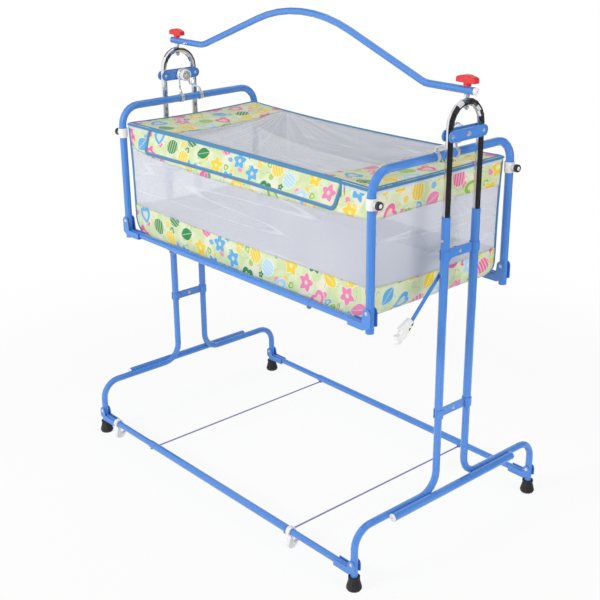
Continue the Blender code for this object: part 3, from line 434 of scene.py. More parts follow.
bluePaint, chromePlate, zincSteel, tiePaint, blackRubber, whitePlastic, redPlastic = [
    hardMaterial(kind, kind) for kind in hardFinishes if kind != "blackPlastic"]
baseRailPaint = rivetedPaint("baseRailPaint", 1, (fittings["endX"], fittings["railRivet"]))
cribRailPaint = rivetedPaint("cribRailPaint", 1, (fittings["cribX"], fittings["cribRivet"]))
bracketPaint = rivetedPaint("bracketPaint", 0, (0, fittings["lowerBracketZ"]), (0, fittings["midBracketZ"]))
carrierPaint = rivetedPaint("carrierPaint", 0, (fittings["uprightY"], fittings["bearingZ"]))
bowPaint = hardMaterial("bowPaint", "bluePaint", "whitePlastic", beyond=[(0, fittings["bowEnd"])])
legPaint = hardMaterial("legPaint", "bluePaint", "whitePlastic",
                        beyond=[(1, fittings["spreaderEnd"]), (0, fittings["spreaderX"])])
screwKnobPlastic = hardMaterial("screwKnobPlastic", "blackPlastic", "whitePlastic", [
    (0, (fittings["cribY"], fittings["clampZ"]), fittings["knobScrew"])])

# The first start that fits a node's name gives its finish
cadFinishes = (
    ("leg_frame", legPaint), ("rubber_foot", blackRubber), ("upper_tube", bluePaint),
    ("height_button", zincSteel), ("lower_bracket", bracketPaint), ("mid_bracket", bracketPaint),
    ("base_rail", baseRailPaint), ("base_tie", tiePaint), ("lock_arm", bluePaint), ("lock_paw", whitePlastic),
    ("lock_pivot_bolt", zincSteel), ("hook", whitePlastic), ("arch_bolt", zincSteel), ("arch", chromePlate),
    ("bow_bar", bowPaint), ("wing_knob", redPlastic), ("bearing_carrier", carrierPaint),
    ("bearing_bolt", zincSteel), ("bearing_housing", whitePlastic), ("bearing", zincSteel),
    ("hanger", zincSteel), ("crib_end", bluePaint), ("crib_rail", cribRailPaint),
    ("crib_floor_wire", tiePaint), ("corner_clamp", whitePlastic), ("clamp_knob", screwKnobPlastic),
)
for name, node in cad.items():
    slots = node.data.materials
    finish = next((finish for start, finish in cadFinishes if name.startswith(start)), None)
    if finish and not slots:
        slots.append(finish)
    elif finish:
        for number in range(len(slots)):
            slots[number] = finish
print("hard materials on the CAD nodes")


# Printed cloth: motifs of two sizes on a mottled green ground with broken twigs
printLook = {
    "large": {"Cell": 0.058, "Shift": 3.7, "Share": 0.99},
    "small": {"Cell": 0.024, "Shift": 11.3, "Share": 0.30},
    "greens": ((0.60, 0.71, 0.38), (0.70, 0.77, 0.50)), "greenScale": 26.0, "greenShown": (0.42, 0.60),
    "cream": (0.78, 0.77, 0.60), "creamScale": 17.0, "creamShown": (0.54, 0.64), "white": (0.84, 0.85, 0.82),
    "twig": (0.23, 0.31, 0.08), "twigShare": 0.75, "twigScale": 21.0, "twigTwist": 0.4, "twigAt": 0.44,
    "twigWidth": (0.004, 0.010), "breakScale": 260.0, "breakShown": (0.42, 0.52),
    "weave": {"Thread": 0.0007, "Slub": 0.35}, "weaveShade": 0.05, "weaveHeight": 0.05, "creaseSize": 0.075,
    "rough": 0.82, "sheen": 0.12, "bump": (0.004, 0.8),
}


def printMaterial():
    look = printLook
    made, tree, sockets = newMaterial("printCloth", Roughness=look["rough"], Sheen_Weight=look["sheen"])
    large = useGroup(tree, printedMotifs, **look["large"])
    small = useGroup(tree, printedMotifs, **look["small"])
    flat = flatPlace(tree)
    ground = mixColour(ease(noiseAt(flat, look["greenScale"]), *look["greenShown"]), *look["greens"])
    cream = ease(noiseAt(flat, look["creamScale"], 1.0), *look["creamShown"])
    ground = mixColour(cream, ground, look["cream"])
    twig = noiseAt(flat, look["twigScale"], 0.0, Distortion=look["twigTwist"]) - look["twigAt"]
    twig = fade(calc("ABSOLUTE", twig), *look["twigWidth"])
    twig = twig * ease(noiseAt(flat, look["breakScale"], 1.0), *look["breakShown"])
    ground = mixColour(twig * look["twigShare"], ground, look["twig"])
    free = 1.0 - large["Edge"]
    ground = mixColour(small["Edge"] * free, ground, look["white"])
    ground = mixColour(small["Inside"] * free, ground, small["Colour"])
    ground = mixColour(large["Edge"], ground, look["white"])
    inked = mixColour(large["Inside"], ground, large["Colour"])
    weave = useGroup(tree, plainWeave, **look["weave"])
    feed(mixColour(weave["Shade"] * look["weaveShade"], inked, look["white"]), sockets["Base Color"])
    creases = useGroup(tree, clothCreases, Size=look["creaseSize"])["Height"]
    addBump(sockets, weave["Height"] * look["weaveHeight"] + creases, *look["bump"])
    return made


# Plain woven cloths: the blue tape, the basket's floor and the thread
plainLook = {"slub": 0.45, "toneScale": 40.0, "rough": 0.86, "weaveHeight": 0.12, "bumpStrength": 0.8}
plainCloths = {
    "blueTape": {"colours": ((0.052, 0.205, 0.40), (0.078, 0.265, 0.47)), "thread": 0.0011, "sheen": 0.2,
                 "creaseSize": 0.020, "creaseDepth": 0.0012},
    "floorCloth": {"colours": ((0.60, 0.62, 0.70), (0.68, 0.70, 0.77)), "thread": 0.0009, "sheen": 0.1,
                   "creaseSize": 0.060, "creaseDepth": 0.0020},
    "threadCloth": {"colours": ((0.62, 0.68, 0.76), (0.70, 0.75, 0.82)), "thread": 0.0004, "sheen": 0.1,
                    "creaseSize": 0.010, "creaseDepth": 0.0002},
}


def plainCloth(name):
    look, own = plainLook, plainCloths[name]
    made, tree, sockets = newMaterial(name, Roughness=look["rough"], Sheen_Weight=own["sheen"])
    weave = useGroup(tree, plainWeave, Thread=own["thread"], Slub=look["slub"])
    tone = noiseAt(flatPlace(tree), look["toneScale"], 3.0)
    feed(mixColour((weave["Shade"] + tone) * 0.5, *own["colours"]), sockets["Base Color"])
    creases = useGroup(tree, clothCreases, Size=own["creaseSize"])["Height"]
    height = weave["Height"] * look["weaveHeight"] + creases
    addBump(sockets, height, own["creaseDepth"], look["bumpStrength"])
    return made


# Nets: body is how far one covers what lies behind it, corner is where a fan of creases starts
netLook = {
    "pitch": 0.0018, "threadWidth": (0.06, 0.14), "thread": 0.85, "hazeScale": 9.0, "haze": 0.20,
    "foldTurn": (0, 0, 0.55), "foldStretch": (1.4, 21, 1), "foldAt": 0.60, "foldWidth": 0.024, "fold": 0.20,
    "rays": 4.5, "rayAt": 0.52, "rayWidth": 0.05, "ray": 0.26, "rayReach": (0.06, 0.56),
    "creaseSize": 0.12, "threadHeight": 0.06, "rough": 0.88, "bump": (0.002, 0.6),
}
nets = {
    "netCloth": {"body": 0.14, "colours": ((0.80, 0.82, 0.89), (0.86, 0.88, 0.93)), "corner": None},
    # the cover's copy of the net has lighter colours than the walls': painted light on the upward-facing
    # cover
    "litCoverCloth": {"body": 0.22, "colours": ((0.85, 0.87, 0.92), (0.91, 0.93, 0.97)),
                   "corner": (-0.29, 0.20, 0.871)},
}


def cornerRays(tree, corner):
    look = netLook
    away = vectorCalc("SUBTRACT", objectPlace(tree), corner)
    x, y = partsOf(away)[:2]
    fan = nodeWire(tree, "ShaderNodeTexNoise", {
        "W": calc("ARCTAN2", y, x) * look["rays"], "Scale": 1.0, "Detail": 1.0}, noise_dimensions="1D")
    ray = fade(calc("ABSOLUTE", fan - look["rayAt"]), 0.0, look["rayWidth"], look["ray"])
    return ray * fade(lengthOf(away), *look["rayReach"])


def netMaterial(name):
    look, own = netLook, nets[name]
    made, tree, sockets = newMaterial(name, Roughness=look["rough"])
    flat = flatPlace(tree)
    thread = largest([fade(calc("PINGPONG", part / look["pitch"], 0.5), *look["threadWidth"], look["thread"])
                      for part in partsOf(flat)[:2]])
    haze = noiseAt(flat, look["hazeScale"])
    slant = nodeWire(tree, "ShaderNodeMapping", {
        "Vector": flat, "Rotation": look["foldTurn"], "Scale": look["foldStretch"]})
    fold = calc("ABSOLUTE", noiseAt(slant, 1.0, 0.0) - look["foldAt"])
    fold = fade(fold, 0.0, look["foldWidth"], look["fold"])
    if own["corner"]:
        fold = fold + cornerRays(tree, own["corner"])
    feed(calc("MAXIMUM", thread, fold + own["body"] + haze * look["haze"]), sockets["Alpha"])
    feed(mixColour(haze, *own["colours"]), sockets["Base Color"])
    creases = useGroup(tree, clothCreases, Size=look["creaseSize"])["Height"]
    addBump(sockets, creases + thread * look["threadHeight"], *look["bump"])
    return made


# Quilted cloth: broken lines of stitches, on the cloth's own map where it is sewn to the walls
quiltLook = {
    "ground": ((0.475, 0.505, 0.625), (0.545, 0.575, 0.695)), "cloudScale": 14.0, "fibreScale": 700.0,
    "line": (0.34, 0.36, 0.48), "lineShare": 0.5, "rowPitch": 0.0085, "lineWidth": (0.03, 0.08),
    "dashStretch": (62, 100, 10), "dashShown": (0.52, 0.58), "fibreHeight": 0.15, "lineDepth": 0.5,
    "rough": 0.90, "sheen": 0.15, "bump": (0.0012, 0.8),
}


def quiltedMaterial(name, sewn):
    look = quiltLook
    made, tree, sockets = newMaterial(name, Roughness=look["rough"], Sheen_Weight=look["sheen"])
    place = flatPlace(tree) if sewn else objectPlace(tree)
    line = fade(calc("PINGPONG", partsOf(place)[1] / look["rowPitch"], 0.5), *look["lineWidth"])
    dash = nodeWire(tree, "ShaderNodeMapping", {"Vector": place, "Scale": look["dashStretch"]})
    dashes = line * ease(noiseAt(dash, 1.0, 1.0), *look["dashShown"])
    fibre, cloud = noiseAt(place, look["fibreScale"]), noiseAt(place, look["cloudScale"])
    ground = mixColour(cloud, *look["ground"])
    feed(mixColour(dashes * look["lineShare"], ground, look["line"]), sockets["Base Color"])
    addBump(sockets, fibre * look["fibreHeight"] - dashes * look["lineDepth"] + cloud, *look["bump"])
    return made


printCloth = printMaterial()
blueTape, floorCloth, threadCloth = [plainCloth(name) for name in plainCloths]
netCloth, litCoverCloth = [netMaterial(name) for name in nets]
padCloth, liningCloth = quiltedMaterial("padCloth", False), quiltedMaterial("liningCloth", True)
print("cloth materials ready")


# Pieces: one that is kept rides a body of the frame
def addPiece(name, mesh, body=None):
    piece = bpy.data.objects.new(name, mesh)
    scene.collection.objects.link(piece)
    if body:
        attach(piece, body)
    return piece


def meshOf(name, build, material=None):
    mesh = bpy.data.meshes.new(name)
    build.to_mesh(mesh)
    build.free()
    if material:
        mesh.materials.append(material)
    return mesh


def evaluatedMesh(maker):
    bpy.context.view_layer.update()
    graph = bpy.context.evaluated_depsgraph_get()
    return bpy.data.meshes.new_from_object(maker.evaluated_get(graph))


def addBox(build, size, place, bevel, segments):
    box = bmesh.ops.create_cube(build, size=1.0)["verts"]
    for v in box:
        v.co = Vector(c * s + p for c, s, p in zip(v.co, size, place))
    edges = [edge for edge in build.edges if edge.verts[0] in box]
    bmesh.ops.bevel(build, geom=edges, offset=bevel, segments=segments, profile=0.5, affect="EDGES")


# Basket walls: drawn in between the corner clamps along their rim
basket = {
    "halfX": 0.4399, "halfY": 0.2073, "floorZ": 0.582, "rimZ": 0.871, "rimSag": 0.0040, "endSag": 0.0030,
    "netSag": 0.0080, "slack": 0.0030, "pull": 0.0180, "endPull": 0.0060, "taper": 0.0050,
    "cornerRound": 0.0220, "roundShare": 0.14, "longSteps": 64, "endSteps": 30, "cornerBunch": 0.085,
    "ripple": 0.0010, "rippleOver": (7, 2.5, 3.0), "cloth": 0.0006,
}


def sway(u, v, over):
    # smooth noise from -1 to 1; over holds how often it turns along and up, and its seed
    along, up, seed = over
    return noise.noise(Vector((u * along, v * up, seed)))


def wallPoint(u, t, long, lift=0.0):
    b = basket
    inset = b["slack"] * math.sin(math.pi * t) + b["taper"] * (1 - t) ** 4
    bow = 1 - u * u
    drawn = (b["pull"] if long else b["endPull"]) * math.sin(math.pi / 2 * t) * bow
    z = b["floorZ"] + (b["rimZ"] - b["floorZ"]) * t - (b["rimSag"] if long else b["endSag"]) * bow * t ** 3
    rounded = b["cornerRound"] * max(0.0, 1 - t / b["roundShare"]) ** 2
    x, y = b["halfX"] - inset - rounded, b["halfY"] - inset
    along, up, seed = b["rippleOver"]
    ripple = b["ripple"] * math.sin(math.pi * t) * bow * sway(u, t, (along, up, seed + long))
    if long:
        return Vector((u * (x + lift), -(y - drawn + lift + ripple), z))
    return Vector((x - drawn + lift + ripple, u * (y + lift), z))


def sideOf(share):
    # share runs once round the basket from the front left corner, front first
    return int(share * 4) % 4, (share * 4) % 1 * 2 - 1


def wallRound(share, t, lift=0.0):
    side, u = sideOf(share)
    point = wallPoint(u, t, side % 2 == 0, lift)
    return Vector((-point.x, -point.y, point.z)) if side > 1 else point


def wallOutward(share):
    return (Vector((0, -1, 0)), Vector((1, 0, 0)), Vector((0, 1, 0)), Vector((-1, 0, 0)))[sideOf(share)[0]]


def roundShares():
    shares = []
    for side in range(4):
        steps = basket["longSteps"] if side % 2 == 0 else basket["endSteps"]
        for k in range(steps):
            bunch = basket["cornerBunch"] * math.sin(2 * math.pi * k / steps)
            shares.append((side + k / steps - bunch) / 4)
    return shares


def clothMesh(name, rows, widths, heights, closed, material):
    # rows of points from the lower edge up, with the flat cut's distances in metres: widths has one for
    # each point of a row, heights one for each row or, where a row isn't level, a list for its points
    build = bmesh.new()
    flat = build.loops.layers.uv.new("flat")
    made = [[build.verts.new(p) for p in row] for row in rows]
    count = len(made[0])
    for j in range(len(made) - 1):
        for k in range(count if closed else count - 1):
            n = (k + 1) % count
            face = build.faces.new((made[j][k], made[j][n], made[j + 1][n], made[j + 1][k]))
            face.smooth = True
            for loop, (a, b) in zip(face.loops, ((k, j), (k + 1, j), (k + 1, j + 1), (k, j + 1))):
                loop[flat].uv = (widths[a], heights[b][k] if isinstance(heights[b], list) else heights[b])
    piece = addPiece(name, meshOf(name, build, material))
    wall = piece.modifiers.new("thickness", "SOLIDIFY")
    wall.thickness, wall.offset, wall.use_even_offset = basket["cloth"], -1, True
    return piece


def lengthsAlong(points, closed=False):
    sums = [0.0]
    for a, b in zip(points, points[1:] + ([points[0]] if closed else [])):
        sums.append(sums[-1] + (b - a).length)
    return sums


def sew(piece, width):
    build = bmesh.new()
    build.from_mesh(piece.data)
    area = sum(face.calc_area() for face in build.faces)
    build.free()
    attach(piece, "crib")
    area / width
    return piece


def wallStrip(name, low, high, steps, lift, material):
    # a strip sewn once round the basket between two heights, each a share of the wall for (side, u)
    rows = [[] for j in range(steps + 1)]
    for share in roundShares():
        a, b = low(*sideOf(share)), high(*sideOf(share))
        for j, row in enumerate(rows):
            row.append(wallRound(share, a + (b - a) * j / steps, lift))
    widths = lengthsAlong(rows[steps // 2], closed=True)
    heights = [[p.z - basket["floorZ"] for p in row] for row in rows]
    piece = clothMesh(name, rows, widths, heights, True, material)
    return sew(piece, widths[-1])


# Heights of the bands' edges, as shares of the wall; outer, net and lining are lifts in metres
bands = {"upperEnd": 0.772, "upperMid": 0.700, "drift": 0.15, "swoop": 0.085, "swoopReach": 0.0125,
         "lowerEnd": 0.262, "lowerMid": 0.232, "overlap": 0.018, "turnIn": 0.006, "liningTop": 0.985,
         "liningFoot": 0.004, "outer": -0.0002, "net": -0.0010, "lining": -0.0018, "upperSteps": 8,
         "netSteps": 12, "lowerSteps": 14}


def fromLeftCorner(side, u):
    # metres along the wall to the nearest left corner
    if side % 2:
        return (1 - abs(u)) * basket["halfY"] if side == 3 else basket["halfX"]
    return (1 - u if side else 1 + u) * basket["halfX"]


def upperBandLow(side, u):
    level = bands["upperEnd"]
    if side % 2 == 0:
        drifted = u + bands["drift"] * (1 - u * u) * (-1 if side else 1)
        level -= (bands["upperEnd"] - bands["upperMid"]) * (1 - drifted * drifted)
    return level + bands["swoop"] * math.exp(-fromLeftCorner(side, u) / bands["swoopReach"])


def lowerBandHigh(side, u):
    return bands["lowerEnd"] - (bands["lowerEnd"] - bands["lowerMid"]) * (1 - u * u)


def raised(edge, step):
    return lambda side, u: edge(side, u) + step


def levelAt(share):
    return lambda side, u: share


upperBand = wallStrip("upperBand", upperBandLow, levelAt(1.0), bands["upperSteps"], bands["outer"],
                      printCloth)
wallStrip("lowerBand", levelAt(0.0), lowerBandHigh, bands["lowerSteps"], bands["outer"], printCloth)
wallStrip("netWalls", raised(lowerBandHigh, -bands["overlap"]), raised(upperBandLow, bands["overlap"]),
          bands["netSteps"], bands["net"], netCloth)
wallStrip("upperLining", raised(upperBandLow, bands["turnIn"]), levelAt(bands["liningTop"]),
          bands["upperSteps"], bands["lining"], liningCloth)
wallStrip("lowerLining", levelAt(bands["liningFoot"]), raised(lowerBandHigh, -bands["turnIn"]),
          bands["lowerSteps"], bands["lining"], liningCloth)
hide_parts("fabric_basket")
print("basket walls sewn")


# Basket floor under the mattress
basketFloor = {"inset": 0.0008, "lift": 0.0012, "sway": 0.0006, "swayOver": (4, 3, 8.0), "across": 40,
               "down": 20}


def floorPoint(i, j):
    b = basket
    u, v = 2 * i - 1, 2 * j - 1
    x = b["halfX"] - b["taper"] - b["cornerRound"] - basketFloor["inset"]
    y = b["halfY"] - b["taper"] - basketFloor["inset"]
    rise = basketFloor["sway"] * sway(u, v, basketFloor["swayOver"])
    return Vector((u * x, v * y, b["floorZ"] + basketFloor["lift"] + rise * (1 - u ** 4) * (1 - v ** 4)))


def plainSheet(name, pointAt, across, down, material):
    rows = [[pointAt(k / across, j / down) for k in range(across + 1)] for j in range(down + 1)]
    widths = lengthsAlong(rows[down // 2])
    heights = lengthsAlong([row[across // 2] for row in rows])
    piece = clothMesh(name, rows, widths, heights, False, material)
    return sew(piece, widths[-1])


plainSheet("floorPanel", floorPoint, basketFloor["across"], basketFloor["down"], floorCloth)


# Net cover, its two printed end strips and the printed front flap
# A corner's crease has a ridge and a dip, each with its share of the depth, its turn, spread and reach
cover = {
    "lift": 0.0006, "sway": 0.0008, "swayOver": (3.2, 2.4, 5.0), "across": 88, "down": 48,
    "creases": ((1.0, 0.36, 0.10, 0.22), (-0.7, 0.62, 0.12, 0.20)), "creaseDepth": 0.0030,
    "creaseStart": 0.05, "edgeHold": 6, "stripInner": 0.284, "stripSkew": 0.022, "stripLift": 0.0010,
    "stripAcross": 14, "stripDown": 40,
}


def coverPoint(u, v, lift=0.0):
    b = basket
    along, over = 1 - u * u, 1 - v * v
    x = b["halfX"] - b["endPull"] * over
    y = b["halfY"] - b["pull"] * along
    z = b["rimZ"] + cover["lift"] - b["rimSag"] * along - b["endSag"] * over - b["netSag"] * along * over
    fold = 0.0
    for cu, cv in ((-1, -1), (-1, 1), (1, -1), (1, 1)):
        a, c = (u - cu) * b["halfX"], (v - cv) * b["halfY"]
        away, turn = math.hypot(a, c), math.atan2(abs(c), abs(a))
        for share, middle, spread, reach in cover["creases"]:
            fold += (share * math.exp(-((turn - middle) / spread) ** 2) * math.exp(-away / reach)
                     * min(1, away / cover["creaseStart"]))
    fold *= cover["creaseDepth"] * min(1, cover["edgeHold"] * along) * min(1, cover["edgeHold"] * over)
    rise = cover["sway"] * sway(u, v, cover["swayOver"]) * along * over
    return Vector((u * x, v * y, z + fold + rise + lift))


coverNet = plainSheet("coverNet", lambda i, j: coverPoint(2 * i - 1, 2 * j - 1), cover["across"],
                      cover["down"], litCoverCloth)
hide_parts("net_cover")


def endStrip(name, left):
    def pointAt(i, j):
        v = 2 * j - 1
        inner = (cover["stripInner"] + cover["stripSkew"] * v * 0.5) / basket["halfX"]
        return coverPoint((-1 if left else inner) + (1 - inner) * i, v, cover["stripLift"])
    return plainSheet(name, pointAt, cover["stripAcross"], cover["stripDown"], printCloth)


endStrip("coverStripLeft", True)
endStrip("coverStripRight", False)

flap = {"left": -0.828, "right": 0.757, "lean": 0.064, "low": 0.772, "lift": 0.0013, "corner": 0.012,
        "slack": 0.0010, "slackOver": (5, 1, 2.0), "across": 56, "down": 14, "cornerSteps": 6,
        "longSteps": 44, "endSteps": 4}
flapLong = (flap["right"] - flap["left"]) * basket["halfX"]
flapHigh = (1 - flap["low"]) * (basket["rimZ"] - basket["floorZ"])


def flapPoint(i, j):
    u = flap["left"] + (flap["right"] - flap["left"]) * i + flap["lean"] * (j - 0.5)
    t = flap["low"] + (1.0 - flap["low"]) * j
    point = wallPoint(u, t, True, flap["lift"])
    point.y -= flap["slack"] * (1 - j) * (0.5 + sway(i, j, flap["slackOver"]))
    return point


def flapCloth(i, j):
    # rows close up towards the edges, where each is cut back to the rounded corners
    up = (1 - math.cos(math.pi * j)) / 2
    short = flap["corner"] - min(flap["corner"], min(up, 1 - up) * flapHigh)
    cut = (flap["corner"] - math.sqrt(flap["corner"] ** 2 - short ** 2)) / flapLong
    return flapPoint(cut + (1 - 2 * cut) * i, up)


def flapOutline():
    across, up = flap["corner"] / flapLong, flap["corner"] / flapHigh
    turns = []
    for ci, cj, start in ((0, 0, 180), (1, 0, 270), (1, 1, 0), (0, 1, 90)):
        middle = (across + ci * (1 - 2 * across), up + cj * (1 - 2 * up))
        angles = [math.radians(start + 90 * n / flap["cornerSteps"]) for n in range(flap["cornerSteps"] + 1)]
        turns.append([(middle[0] + across * math.cos(a), middle[1] + up * math.sin(a)) for a in angles])
    path = []
    for k, turn in enumerate(turns):
        steps = flap["endSteps"] if k % 2 else flap["longSteps"]
        (a, b), (c, d) = turn[-1], turns[(k + 1) % 4][0]
        path += turn + [(a + (c - a) * n / steps, b + (d - b) * n / steps) for n in range(1, steps)]
    return path


frontFlap = plainSheet("frontFlap", flapCloth, flap["across"], flap["down"], printCloth)
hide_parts("front_flap")
print("cover and flap sewn")


# Blue binding tape, folded over the edges: rim, corner and flap hold its width and thickness there
binding = {"rim": (0.0116, 0.0038), "corner": (0.0068, 0.0056), "flap": (0.0100, 0.0018), "sides": 10,
           "squareness": 0.7, "rimLift": -0.0015, "rimDrop": 0.0006, "rimLean": 1.2, "cornerLift": -0.0016,
           "cornerFrom": 0.02, "cornerSpan": 0.955, "cornerSteps": 24, "flapLean": 0.15}


def squared(value):
    return math.copysign(abs(value) ** binding["squareness"], value)


def tapeMesh(name, points, outward, size, closed, material):
    # outward gives the direction that the tape's flat side faces at each point
    width, thick = size
    build = bmesh.new()
    flat = build.loops.layers.uv.new("flat")
    count, sides = len(points), binding["sides"]
    rings = []
    for k in range(count):
        before = points[k - 1] if closed or k else points[k]
        after = points[(k + 1) % count] if closed or k < count - 1 else points[k]
        forward = (after - before).normalized()
        face = outward[k] - forward * outward[k].dot(forward)
        face.normalize()
        across = forward.cross(face)
        turns = [2 * math.pi * n / sides for n in range(sides)]
        rings.append([build.verts.new(points[k] + across * (squared(math.cos(a)) * width / 2)
                                      + face * (squared(math.sin(a)) * thick / 2)) for a in turns])
    sums = lengthsAlong(points, closed)
    girth = 2 * (width + thick)
    for k in range(count if closed else count - 1):
        low, high = rings[k], rings[(k + 1) % count]
        for n in range(sides):
            m = (n + 1) % sides
            face = build.faces.new((low[n], low[m], high[m], high[n]))
            face.smooth = True
            for loop, (a, b) in zip(face.loops, ((k, n), (k, n + 1), (k + 1, n + 1), (k + 1, n))):
                loop[flat].uv = (sums[a], girth * b / sides)
    if not closed:
        build.faces.new(list(reversed(rings[0])))
        build.faces.new(rings[-1])
    bmesh.ops.recalc_face_normals(build, faces=build.faces)
    return addPiece(name, meshOf(name, build, material), "crib")


rimPath = [wallRound(share, 1.0, binding["rimLift"]) - Vector((0, 0, binding["rimDrop"]))
           for share in roundShares()]
rimOut = [wallOutward(share) for share in roundShares()]
rimFace = [(out + Vector((0, 0, binding["rimLean"]))).normalized() for out in rimOut]
tapeMesh("rimBinding", rimPath, rimFace, binding["rim"], True, blueTape)

for k, corner in enumerate(("FrontLeft", "FrontRight", "RearRight", "RearLeft")):
    steps = binding["cornerSteps"]
    path = [wallRound(k / 4, binding["cornerFrom"] + binding["cornerSpan"] * n / steps, binding["cornerLift"])
            for n in range(steps + 1)]
    out = Vector((path[0].x / abs(path[0].x), path[0].y / abs(path[0].y), 0)).normalized()
    tapeMesh("cornerBinding" + corner, path, [out] * len(path), binding["corner"], False, blueTape)

flapEdge = [flapPoint(i, j) for i, j in flapOutline()]
flapFace = Vector((0, -1, binding["flapLean"])).normalized()
tapeMesh("flapBinding", flapEdge, [flapFace] * len(flapEdge), binding["flap"], True, blueTape)
print("bindings sewn")


# Stitches and zip teeth: one small piece every few millimetres along a path
stitch = {"spacing": 0.0034, "size": (0.00028, 0.00028, 0.0010), "out": 0.0001, "fromSeam": 0.012,
          "rim": (0.0032, -0.0026), "flap": (0.0030, -0.0009)}
zipTeeth = {"spacing": 0.0021, "size": (0.0024, 0.0013, 0.0012), "out": 0.0004}


def repeatTree(name, bead, **beadTerms):
    tree, given, result = newGroup(name, [
        ("Path", "Geometry", None), ("Spacing", "Float", None), ("Bead Size", "Vector", None),
        ("Finish", "Material", None)], [("Row", "Geometry")], "GeometryNodeTree")
    spread = addNode(tree, "GeometryNodeCurveToPoints", {"Curve": given["Path"], "Length": given["Spacing"]},
                     mode="LENGTH").outputs
    placed = nodeWire(tree, "GeometryNodeInstanceOnPoints", {
        "Points": Wire(spread["Points"]), "Instance": nodeWire(tree, bead, beadTerms, "Mesh"),
        "Rotation": Wire(spread["Rotation"]), "Scale": given["Bead Size"]})
    whole = nodeWire(tree, "GeometryNodeRealizeInstances", {0: placed})
    feed(nodeWire(tree, "GeometryNodeSetMaterial", {"Geometry": whole, "Material": given["Finish"]}),
         result["Row"])
    return tree


stitchRow = repeatTree("stitchRow", "GeometryNodeMeshUVSphere", Segments=6, Rings=4, Radius=1.0)
zipRow = repeatTree("zipRow", "GeometryNodeMeshCube")


def repeatAlong(name, paths, tree, sizes, finish):
    line = bpy.data.curves.new(name + "Path", "CURVE")
    line.dimensions, line.twist_mode = "3D", "Z_UP"
    for points, closed in paths:
        spline = line.splines.new("POLY")
        spline.points.add(len(points) - 1)
        for k, p in enumerate(points):
            spline.points[k].co = (*p, 1)
        spline.use_cyclic_u = closed
    maker = addPiece(name + "Maker", line)
    row = maker.modifiers.new("row", "NODES")
    row.node_group = tree
    values = {"Spacing": sizes["spacing"], "Bead Size": sizes["size"], "Finish": finish}
    for item in tree.interface.items_tree:
        if item.in_out == "INPUT" and item.name in values:
            row[item.identifier] = values[item.name]
    mesh = evaluatedMesh(maker)
    mesh.name = name
    bpy.data.objects.remove(maker)
    return addPiece(name, mesh, "crib")


def shifted(points, outward, along, drop=0.0):
    return [p + o * along + Vector((0, 0, drop)) for p, o in zip(points, outward)]


def insetFlap(p):
    inset, out = stitch["flap"]
    x, z = flapMiddle.x - p.x, flapMiddle.z - p.z
    return p + Vector((math.copysign(min(abs(x), inset), x), out, math.copysign(min(abs(z), inset), z)))


flapMiddle = sum(flapEdge, Vector()) / len(flapEdge)
seams = [shifted(rimPath, rimOut, *stitch["rim"]), [insetFlap(p) for p in flapEdge]]
for edge, step in ((upperBandLow, stitch["fromSeam"]), (lowerBandHigh, -stitch["fromSeam"])):
    seams.append([wallRound(share, edge(*sideOf(share)) + step, stitch["out"])
                  for share in roundShares()])
bindingStitches = repeatAlong("bindingStitches", [(seam, True) for seam in seams], stitchRow, stitch,
                              threadCloth)
print("stitches:", len(bindingStitches.data.polygons), "faces")


# Zip under the rim binding, from the flap's right end round to its left end
zipper = {"level": 0.9700, "from": 0.80, "to": -0.805, "steps": 240, "tape": (0.0062, 0.0006), "lift": 0.0004,
          "slider": (0.0050, 0.0030, 0.0075), "sliderOut": 0.0016, "pull": (0.0040, 0.0010, 0.0150),
          "pullOut": 0.0018, "pullOverlap": 0.0010, "bevel": 0.3}
zipStart, zipEnd = (zipper["from"] + 1) / 8, 1 + (zipper["to"] + 1) / 8
zipShares = [(zipStart + (zipEnd - zipStart) * k / zipper["steps"]) % 1 for k in range(zipper["steps"] + 1)]
zipPath = [wallRound(share, zipper["level"], zipper["lift"]) for share in zipShares]
zipOut = [wallOutward(share) for share in zipShares]
tapeMesh("zipTape", zipPath, zipOut, zipper["tape"], False, threadCloth)
repeatAlong("zipTeeth", [(shifted(zipPath, zipOut, zipTeeth["out"]), False)], zipRow, zipTeeth,
            whitePlastic)


def zipSliderMesh():
    # slider body with its pull hanging from it
    build = bmesh.new()
    top = zipPath[0] + Vector((0, -zipper["sliderOut"], 0))
    drop = (zipper["slider"][2] + zipper["pull"][2]) / 2 - zipper["pullOverlap"]
    hanging = top + Vector((0, -zipper["pullOut"], -drop))
    for size, place in ((zipper["slider"], top), (zipper["pull"], hanging)):
        addBox(build, size, place, min(size) * zipper["bevel"], 2)
    return meshOf("zipSlider", build, zincSteel)


addPiece("zipSlider", zipSliderMesh(), "crib")
print("zip closed")


# Painted shade of two slots on the outer face of the lock's paw, beside the end of its arm: thin black plates
# where the slots' hollows would be dark
pawSlot = {"faceX": 0.4902, "pivotZ": 0.712, "tilt": 225, "along": (0.1900, 0.2015), "across": 0.0050,
           "size": (0.0006, 0.0064, 0.0032)}


def pawSlotShadeMesh():
    build = bmesh.new()
    turn = Matrix.Rotation(math.radians(pawSlot["tilt"]), 4, "X")
    pivot = Matrix.Translation((pawSlot["faceX"], 0, pawSlot["pivotZ"]))
    for reach in pawSlot["along"]:
        place = pivot @ turn @ Matrix.Translation((0, reach, pawSlot["across"]))
        # each plate is painted shade, black where the slot's hollow would be
        bmesh.ops.create_cube(build, size=1.0, matrix=place @ Matrix.Diagonal((*pawSlot["size"], 1)))
    return meshOf("pawSlotShade", build, blackRubber)


addPiece("pawSlotShade", pawSlotShadeMesh(), "swing_lock")


# Mattress: a box swollen by its filling, then drawn down along its sewn channels
mattress = {"halfX": 0.4099, "halfY": 0.1963, "low": 0.5853, "high": 0.6093, "shy": 0.0030, "thick": 0.0150,
            "bevel": 0.0050, "voxel": 0.0060, "quality": 5, "mass": 0.3, "pressure": 4.0, "frames": 20,
            "cap": 0.0050, "channels": 3, "channelNarrow": 12, "dip": 0.0026, "crownEdge": (8, 6)}


